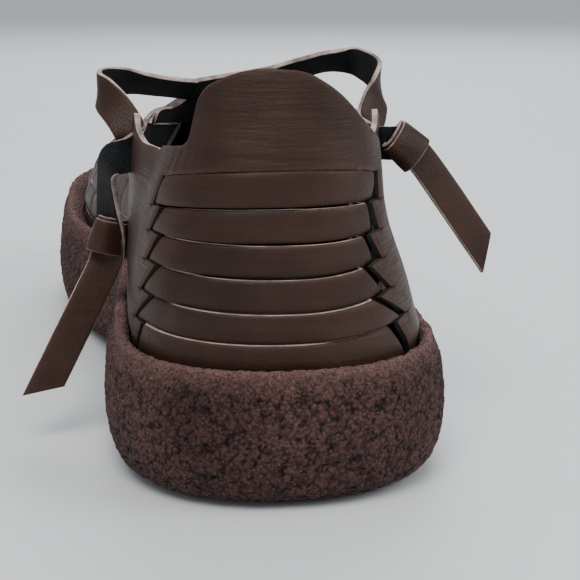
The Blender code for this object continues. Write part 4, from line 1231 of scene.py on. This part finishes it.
class WOVENSHOE_OT_heel_strips(bpy.types.Operator):
    """Adds the strips round the heel, each diving under the side bands at both ends"""

    bl_idname = "woven_shoe.heel_strips"
    bl_label = "Heel Strips"

    def execute(self, context):
        (inner_top, inner_low), (outer_top, outer_low) = tooth_ways(-1), tooth_ways(1)
        patches = []
        down = ((ACROSS + 1) / 2)[:, None]
        across = ACROSS[:, None]
        for k in range(len(SLITS)):
            last = k == len(SLITS) - 1
            left = -(inner_top[k] + (inner_low[k] - inner_top[k]) * down)
            right = outer_top[k] + (outer_low[k] - outer_top[k]) * down
            start, end = left - STRIP_BEYOND, right + STRIP_BEYOND
            ways = start + (end - start) * np.linspace(0, 1, 150)
            top = slit_height(SLITS[k], ways) - 0.00015
            if last:
                low = rim_height(ways) - TUCK
            else:
                gap = SLIT_EDGES[k + 1][0] * (1 - 0.5 * (ways / 60.0) ** 2)
                low = slit_height(SLITS[k + 1], ways) + np.clip(gap, 0.0001, None)
            top_out = self.standing_out(k, ways)
            low_out = self.standing_out(min(k + 1, len(SLITS) - 1), ways)
            at_top = PROUD * top_out - SUNK * (1 - top_out)
            at_low = SUNK * (1 - low_out) - PROUD * low_out
            lift = (at_top * (1 - down) + at_low * down + CROWN * np.cos(across * np.pi / 2)
                    + rolled(across))
            (inner_shift, inner_run, inner_depth), (outer_shift, outer_run, outer_depth) = DIVES
            lift = lift - np.maximum(
                ease((left + inner_shift - ways) / inner_run) * inner_depth,
                ease((ways - right + outer_shift) / outer_run) * outer_depth)
            flat = flat_at(ways, height=top + (low - top) * down)
            # Wear and painted highlight along the top edge only, where it stands out into the light
            wear_and_highlight = rubbed_and_lit(np.minimum(across, 0)) * top_out
            patches.append(patch(flat, held_down(flat, lift) if last else lift, wear_and_highlight))
        made = wall("heel_strips", patches, sizes().band_thickness, band_finishes())
        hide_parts("woven_upper")
        return {"FINISHED"}

    def standing_out(self, slit, ways):
        """1 where the strip below a slit stands out at its top edge, 0 where it is tucked in."""
        _, start, end = SLIT_EDGES[slit]
        return ease((ways - start) / 12.0) * ease((end - ways) / 12.0)


class WOVENSHOE_OT_long_bands(bpy.types.Operator):
    """Adds the lengthwise bands of the vamp, from the side bands and the throat to the toe"""

    bl_idname = "woven_shoe.long_bands"
    bl_label = "Lengthwise Bands"

    def execute(self, context):
        counts, start, end, _, _, _ = band_spans()
        lines = np.concatenate([[-OUTERMOST], COLUMNS, [OUTERMOST]])
        patches = []
        for i in range(len(lines) - 1):
            half = (lines[i + 1] - lines[i]) / 2
            count = (lines[i] + half) + ACROSS * (half - BAND_GAP)
            first = np.interp(count, counts, start)[:, None]
            last = np.interp(count, counts, end)[:, None]
            along = first + (last - first) * np.linspace(0, 1, 170)
            cell = cells_along(along, ROWS, 0.05, 0.09)
            lift = woven_lift(cell, first_over=i % 2 == 0)
            sinking = ease(1 - (along - UNDER_SIDE_BAND) / 0.012)
            lift = lift - np.clip(lift + 0.0012, 0, None) * sinking
            patches.append(woven_patch(count[:, None], along, lift))
        made = wall("long_bands", patches, sizes().band_thickness, band_finishes())
        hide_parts("woven_upper")
        return {"FINISHED"}


class WOVENSHOE_OT_cross_bands(bpy.types.Operator):
    """Adds the crosswise bands of the vamp and the border along the throat"""

    bl_idname = "woven_shoe.cross_bands"
    bl_label = "Crosswise Bands"

    def execute(self, context):
        _, _, _, places, widest, nearest = band_spans()
        patches = []
        for j in range(len(ROWS) - 1):
            half = (ROWS[j + 1] - ROWS[j]) / 2
            along = (ROWS[j] + half) + ACROSS * half * CROSS_WIDTH
            left, right, near_left, near_right = (
                np.interp(along, places, row) for row in (*widest, *nearest))
            if np.min(np.abs(near_left)) < 0.3:
                spans = [(left, right, 150)]
            else:
                spans = [(left, near_left, 60), (near_right, right, 60)]
            for begin, finish, steps in spans:
                count = begin[:, None] + (finish - begin)[:, None] * np.linspace(0, 1, steps)
                lift = woven_lift(cells_along(count, COLUMNS, 0.8, 0.8), first_over=j % 2 == 0)
                patches.append(woven_patch(count, along[:, None], lift))
        made = wall("cross_bands", patches, sizes().band_thickness, band_finishes())
        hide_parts("woven_upper")
        border = wall("throat_border", [self.border()], sizes().band_thickness, band_finishes())
        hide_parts("woven_upper")
        return {"FINISHED"}

    def border(self):
        """A band that follows the throat's edge: its inner edge is that edge, and its outer one
        lies a band's width away, square to it on the wall."""
        line = throat_line(220)
        across, along = (slope / (0.8 * MM) for slope in slopes_at(line))
        tangent = np.gradient(line, axis=0)
        run = across * tangent[:, :1] + along * tangent[:, 1:]
        aside = np.cross(outward(line), run)
        aside /= np.linalg.norm(aside, axis=1, keepdims=True)
        shift = np.einsum("nij,nj->ni", np.linalg.pinv(np.stack([across, along], axis=2)), aside)
        forward = np.sign(np.sum(shift * (line - np.array([0.0, 0.06])), axis=1).mean())
        flat = line + forward * shift * ((ACROSS + 1) / 2 * BORDER_WIDTH)[:, None, None]
        lift, wear_and_highlight = (np.broadcast_to(row[:, None], flat.shape[:2])
                      for row in (BORDER_LIFT + rolled(ACROSS), rubbed_and_lit(ACROSS)))
        return patch(flat, lift, wear_and_highlight)


class WOVENSHOE_OT_tongue(bpy.types.Operator):
    """Adds the rounded tongue under the vamp's back edge and finishes the footbed"""

    bl_idname = "woven_shoe.tongue"
    bl_label = "Tongue and Footbed"

    def execute(self, context):
        rows = even_curve(np.array(TONGUE), 60)
        columns = np.linspace(-1, 1, 25)
        along, rise, wide = (rows[:, k][:, None] for k in range(3))
        held = np.maximum(along, TONGUE_ROOT)
        x = middle(held) + columns * wide * TONGUE_WIDTH / 2
        way = side_way(np.where(x < 0, -1.0, 1.0), held)
        centre, edge, _ = ray(way, follow=True)
        power = smooth(RIDGE, 2, np.broadcast_to(held, x.shape))
        share = np.abs((x - centre[..., 0]) / (edge - centre)[..., 0])
        flat = flat_at(way, share=np.arcsin(share ** (power / 2)) * 2 / np.pi)
        points, normal = faced(flat, np.full(x.shape, -TONGUE_UNDER))
        points[..., 1] += np.minimum(along - TONGUE_ROOT, 0.0) * LENGTH
        points[..., 2] += rise * TONGUE_RISE
        # Wear and painted highlight at the tongue's side edges
        wear_and_highlight = np.broadcast_to(np.abs(columns) ** 8 * 0.5, x.shape)
        made = wall("tongue_leaf", [(points, normal, wear_and_highlight)], TONGUE_THICKNESS, band_finishes())
        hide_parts("tongue")
        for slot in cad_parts["insole"].material_slots:
            slot.material = finish_named("footbed_black")
        return {"FINISHED"}


def scattered(cells, seed):
    """Three repeatable numbers between 0 and 1 for each whole-numbered cell."""
    cells = cells.astype(np.uint32)
    mixed = (cells[..., 0] * np.uint32(73856093) ^ cells[..., 1] * np.uint32(19349663)
             ^ cells[..., 2] * np.uint32(83492791) ^ np.uint32(seed))
    found = []
    for _ in range(3):
        mixed = mixed ^ (mixed >> np.uint32(15))
        mixed = mixed * np.uint32(2246822519)
        mixed = mixed ^ (mixed >> np.uint32(13))
        mixed = mixed * np.uint32(3266489917)
        mixed = mixed ^ (mixed >> np.uint32(16))
        found.append(mixed / 4294967295.0)
    return np.stack(found, axis=-1)


def crumbs(points, size, seed=7):
    """Round lumps packed side by side: one scattered middle in each cell of a cubic lattice, and
    at each point 1 less the square of the distance to the nearest, in lumps."""
    place = points / size
    place = place + 0.28 * np.sin(place[:, [1, 2, 0]] * 1.7 + 0.6) + 0.12 * np.sin(
        place[:, [2, 0, 1]] * 4.3)
    cell = np.floor(place)
    best = np.full(len(points), 9.0)
    for dx in (-1, 0, 1):
        for dy in (-1, 0, 1):
            for dz in (-1, 0, 1):
                near = cell + np.array([dx, dy, dz])
                middle_of = near + scattered((near + 4096).astype(np.int64), seed)
                best = np.minimum(best, np.sum((place - middle_of) ** 2, axis=1))
    return np.clip(1 - best / 0.85, 0, 1)


class WOVENSHOE_OT_sole(bpy.types.Operator):
    """Adds the crumbed foam cup sole"""

    bl_idname = "woven_shoe.sole"
    bl_label = "Crumbed Sole"

    def execute(self, context):
        size = sizes()
        grid, roughs, lip = self.fill(self.section(self.even_ways(440)))
        around = np.roll(grid, -1, axis=1) - np.roll(grid, 1, axis=1)
        normal = np.cross(around, np.gradient(grid, axis=0))
        length = np.linalg.norm(normal, axis=2, keepdims=True)
        normal = normal / np.where(length < 1e-12, 1.0, length)
        flat_points = grid.reshape(-1, 3)
        lumps = crumbs(flat_points, size.crumb_size).reshape(roughs.shape)
        small = crumbs(flat_points, size.crumb_size * SMALL_CRUMB, 23).reshape(roughs.shape)
        crumb = (1 - SMALL_SHARE) * lumps + SMALL_SHARE * small
        row = len(grid) // 2
        from_middle = grid[row, :, :2] - grid[row, :, :2].mean(0)
        outward_sign = np.sign(np.sum(normal[row, :, :2] * from_middle))
        lift = (crumb - 0.55) * size.crumb_height * roughs * outward_sign
        points = (grid + normal * lift[..., None]).reshape(-1, 3)
        points[:, 2] = np.maximum(points[:, 2], 0.0)
        quads = grid_faces(*grid.shape[:2], wrap=True)
        if outward_sign < 0:
            quads = quads[:, ::-1]
        first, whole, triangles = merged(points, quads)
        # The crumb lift also paints the crumb tops lighter and the hollows darker, as painted light
        # and shade
        values = {"crumb": crumb.reshape(-1)[first], "lip": lip.reshape(-1)[first]}
        made = mesh_object("crumbed_sole", points[first], whole.tolist() + triangles.tolist(),
                           [finish_named("crumbed_foam")], None, values, crisp=180.0)
        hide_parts("foam_sole")
        return {"FINISHED"}

    def even_ways(self, count):
        """Ways at even distances round the outline, the same on both sides."""
        fine = np.linspace(0, 280, 2801)
        step = sum(np.linalg.norm(np.diff(ray(ways)[1], axis=0), axis=1)
                   for ways in (fine, -fine)) / 2
        length = np.concatenate([[0], np.cumsum(step)])
        half = np.interp(np.linspace(0, length[-1], count + 1), length, fine)
        return np.concatenate([half, -half[-2:0:-1]])

    def section(self, ways):
        """Key rows from the underside's middle out, up the side, over the lip and down the cup,
        with the steps to each next row, how rough each is and how dusty."""
        centre, _, _ = ray(ways)
        rim = rim_height(ways)
        keys = []
        for share, count, rough in UNDERSIDE:
            plan = centre + (ray(ways, margin=BOTTOM_ROUND)[1] - centre) * share
            keys.append((np.column_stack([plan, self.underside(plan)]), count, rough, 0.0))
        for into, up, count, rough, dust in SOLE_SIDE:
            edge = ray(ways, margin=into * BOTTOM_ROUND)[1]
            low = self.underside(edge)
            keys.append((np.column_stack([edge, low + (rim - low) * up]), count, rough, dust))
        for into, over, dust in LIP:
            row = np.column_stack([ray(ways, margin=into)[1], rim + over])
            keys.append((row, 3, 0.7, dust))
        foot = profile(ways)[0]
        for share, count in CUP_WALL:
            flat = flat_at(ways, height=foot + (rim - foot) * share)
            keys.append((surface(flat) + outward(flat) * CUP_CLEARANCE, count, 0.0, 0.0))
        floor = smooth(CUP, 1, centre[:, 1] / LENGTH) * HEEL_FLOOR
        keys.append((np.column_stack([centre, floor - 0.0003]), 1, 0.0, 0.0))
        return keys

    def underside(self, plan):
        """Height of the underside: flat at heel and ball, sprung at the toe, arched inside."""
        along = plan[:, 1] / LENGTH
        toe = np.clip((along - SPRING_START) / (1 - SPRING_START), 0, 1) ** 2 * TOE_SPRING
        waist = np.clip(1 - ((along - ARCH_PLACE) / ARCH_REACH) ** 2, 0, 1) ** 2
        inner = np.clip(-plan[:, 0] / (HEEL_WIDTH / 2) + 0.25, 0, 1)
        return toe + ARCH_RISE * waist * inner

    def fill(self, keys):
        """Rows between the key rows, with how rough and how dusty they are: on the side a
        Catmull-Rom curve through them, elsewhere straight."""
        rows, steps, rough, dust = zip(*keys)
        rows = np.array(rows)
        padded = np.concatenate([rows[:1], rows, rows[-1:]])
        grid, roughs, dusts = [], [], []
        for k in range(len(rows) - 1):
            t = np.linspace(0, 1, steps[k], endpoint=False)[:, None, None]
            points = padded[k:k + 4][:, None]
            curved = len(UNDERSIDE) < k < len(UNDERSIDE) + len(SOLE_SIDE) + 2
            run = cubic(*points, t) if curved else points[1] + (points[2] - points[1]) * t
            grid.append(run)
            for found, row in ((roughs, rough), (dusts, dust)):
                value = row[k] + (row[k + 1] - row[k]) * t[:, :, 0]
                found.append(np.broadcast_to(value, run.shape[:2]))
        grid.append(rows[-1:])
        none = np.zeros((1, rows.shape[1]))
        return [np.concatenate(found) for found in (grid, [*roughs, none], [*dusts, none])]


OPERATORS = (
    WOVENSHOE_OT_stage,
    WOVENSHOE_OT_lace,
    WOVENSHOE_OT_counter,
    WOVENSHOE_OT_heel_strips,
    WOVENSHOE_OT_long_bands,
    WOVENSHOE_OT_cross_bands,
    WOVENSHOE_OT_tongue,
    WOVENSHOE_OT_sole,
)


class WOVENSHOE_PT_panel(bpy.types.Panel):
    """Lists the shoe's pieces, sizes and colours"""

    bl_idname = "WOVENSHOE_PT_panel"
    bl_label = "Woven Shoe"
    bl_space_type = "VIEW_3D"
    bl_region_type = "UI"
    bl_category = "Woven Shoe"

    def draw(self, context):
        layout = self.layout
        for operator in OPERATORS:
            layout.operator(operator.bl_idname)
        for group in (context.scene.woven_shoe_sizes, context.scene.woven_shoe_colours):
            box = layout.box()
            for key in group.bl_rna.properties.keys():
                if key not in {"rna_type", "name"}:
                    box.prop(group, key)


CLASSES = (WovenShoeSizes, WovenShoeColours, *OPERATORS, WOVENSHOE_PT_panel)


def register():
    for each in CLASSES:
        bpy.utils.register_class(each)
    bpy.types.Scene.woven_shoe_sizes = bpy.props.PointerProperty(type=WovenShoeSizes)
    bpy.types.Scene.woven_shoe_colours = bpy.props.PointerProperty(type=WovenShoeColours)


def unregister():
    del bpy.types.Scene.woven_shoe_colours
    del bpy.types.Scene.woven_shoe_sizes
    for each in reversed(CLASSES):
        bpy.utils.unregister_class(each)


def main():
    register()
    bpy.ops.woven_shoe.stage()
    bpy.ops.woven_shoe.lace()
    bpy.ops.woven_shoe.counter()
    bpy.ops.woven_shoe.heel_strips()
    bpy.ops.woven_shoe.long_bands()
    bpy.ops.woven_shoe.cross_bands()
    bpy.ops.woven_shoe.tongue()
    bpy.ops.woven_shoe.sole()


if __name__ == "__main__":
    main()
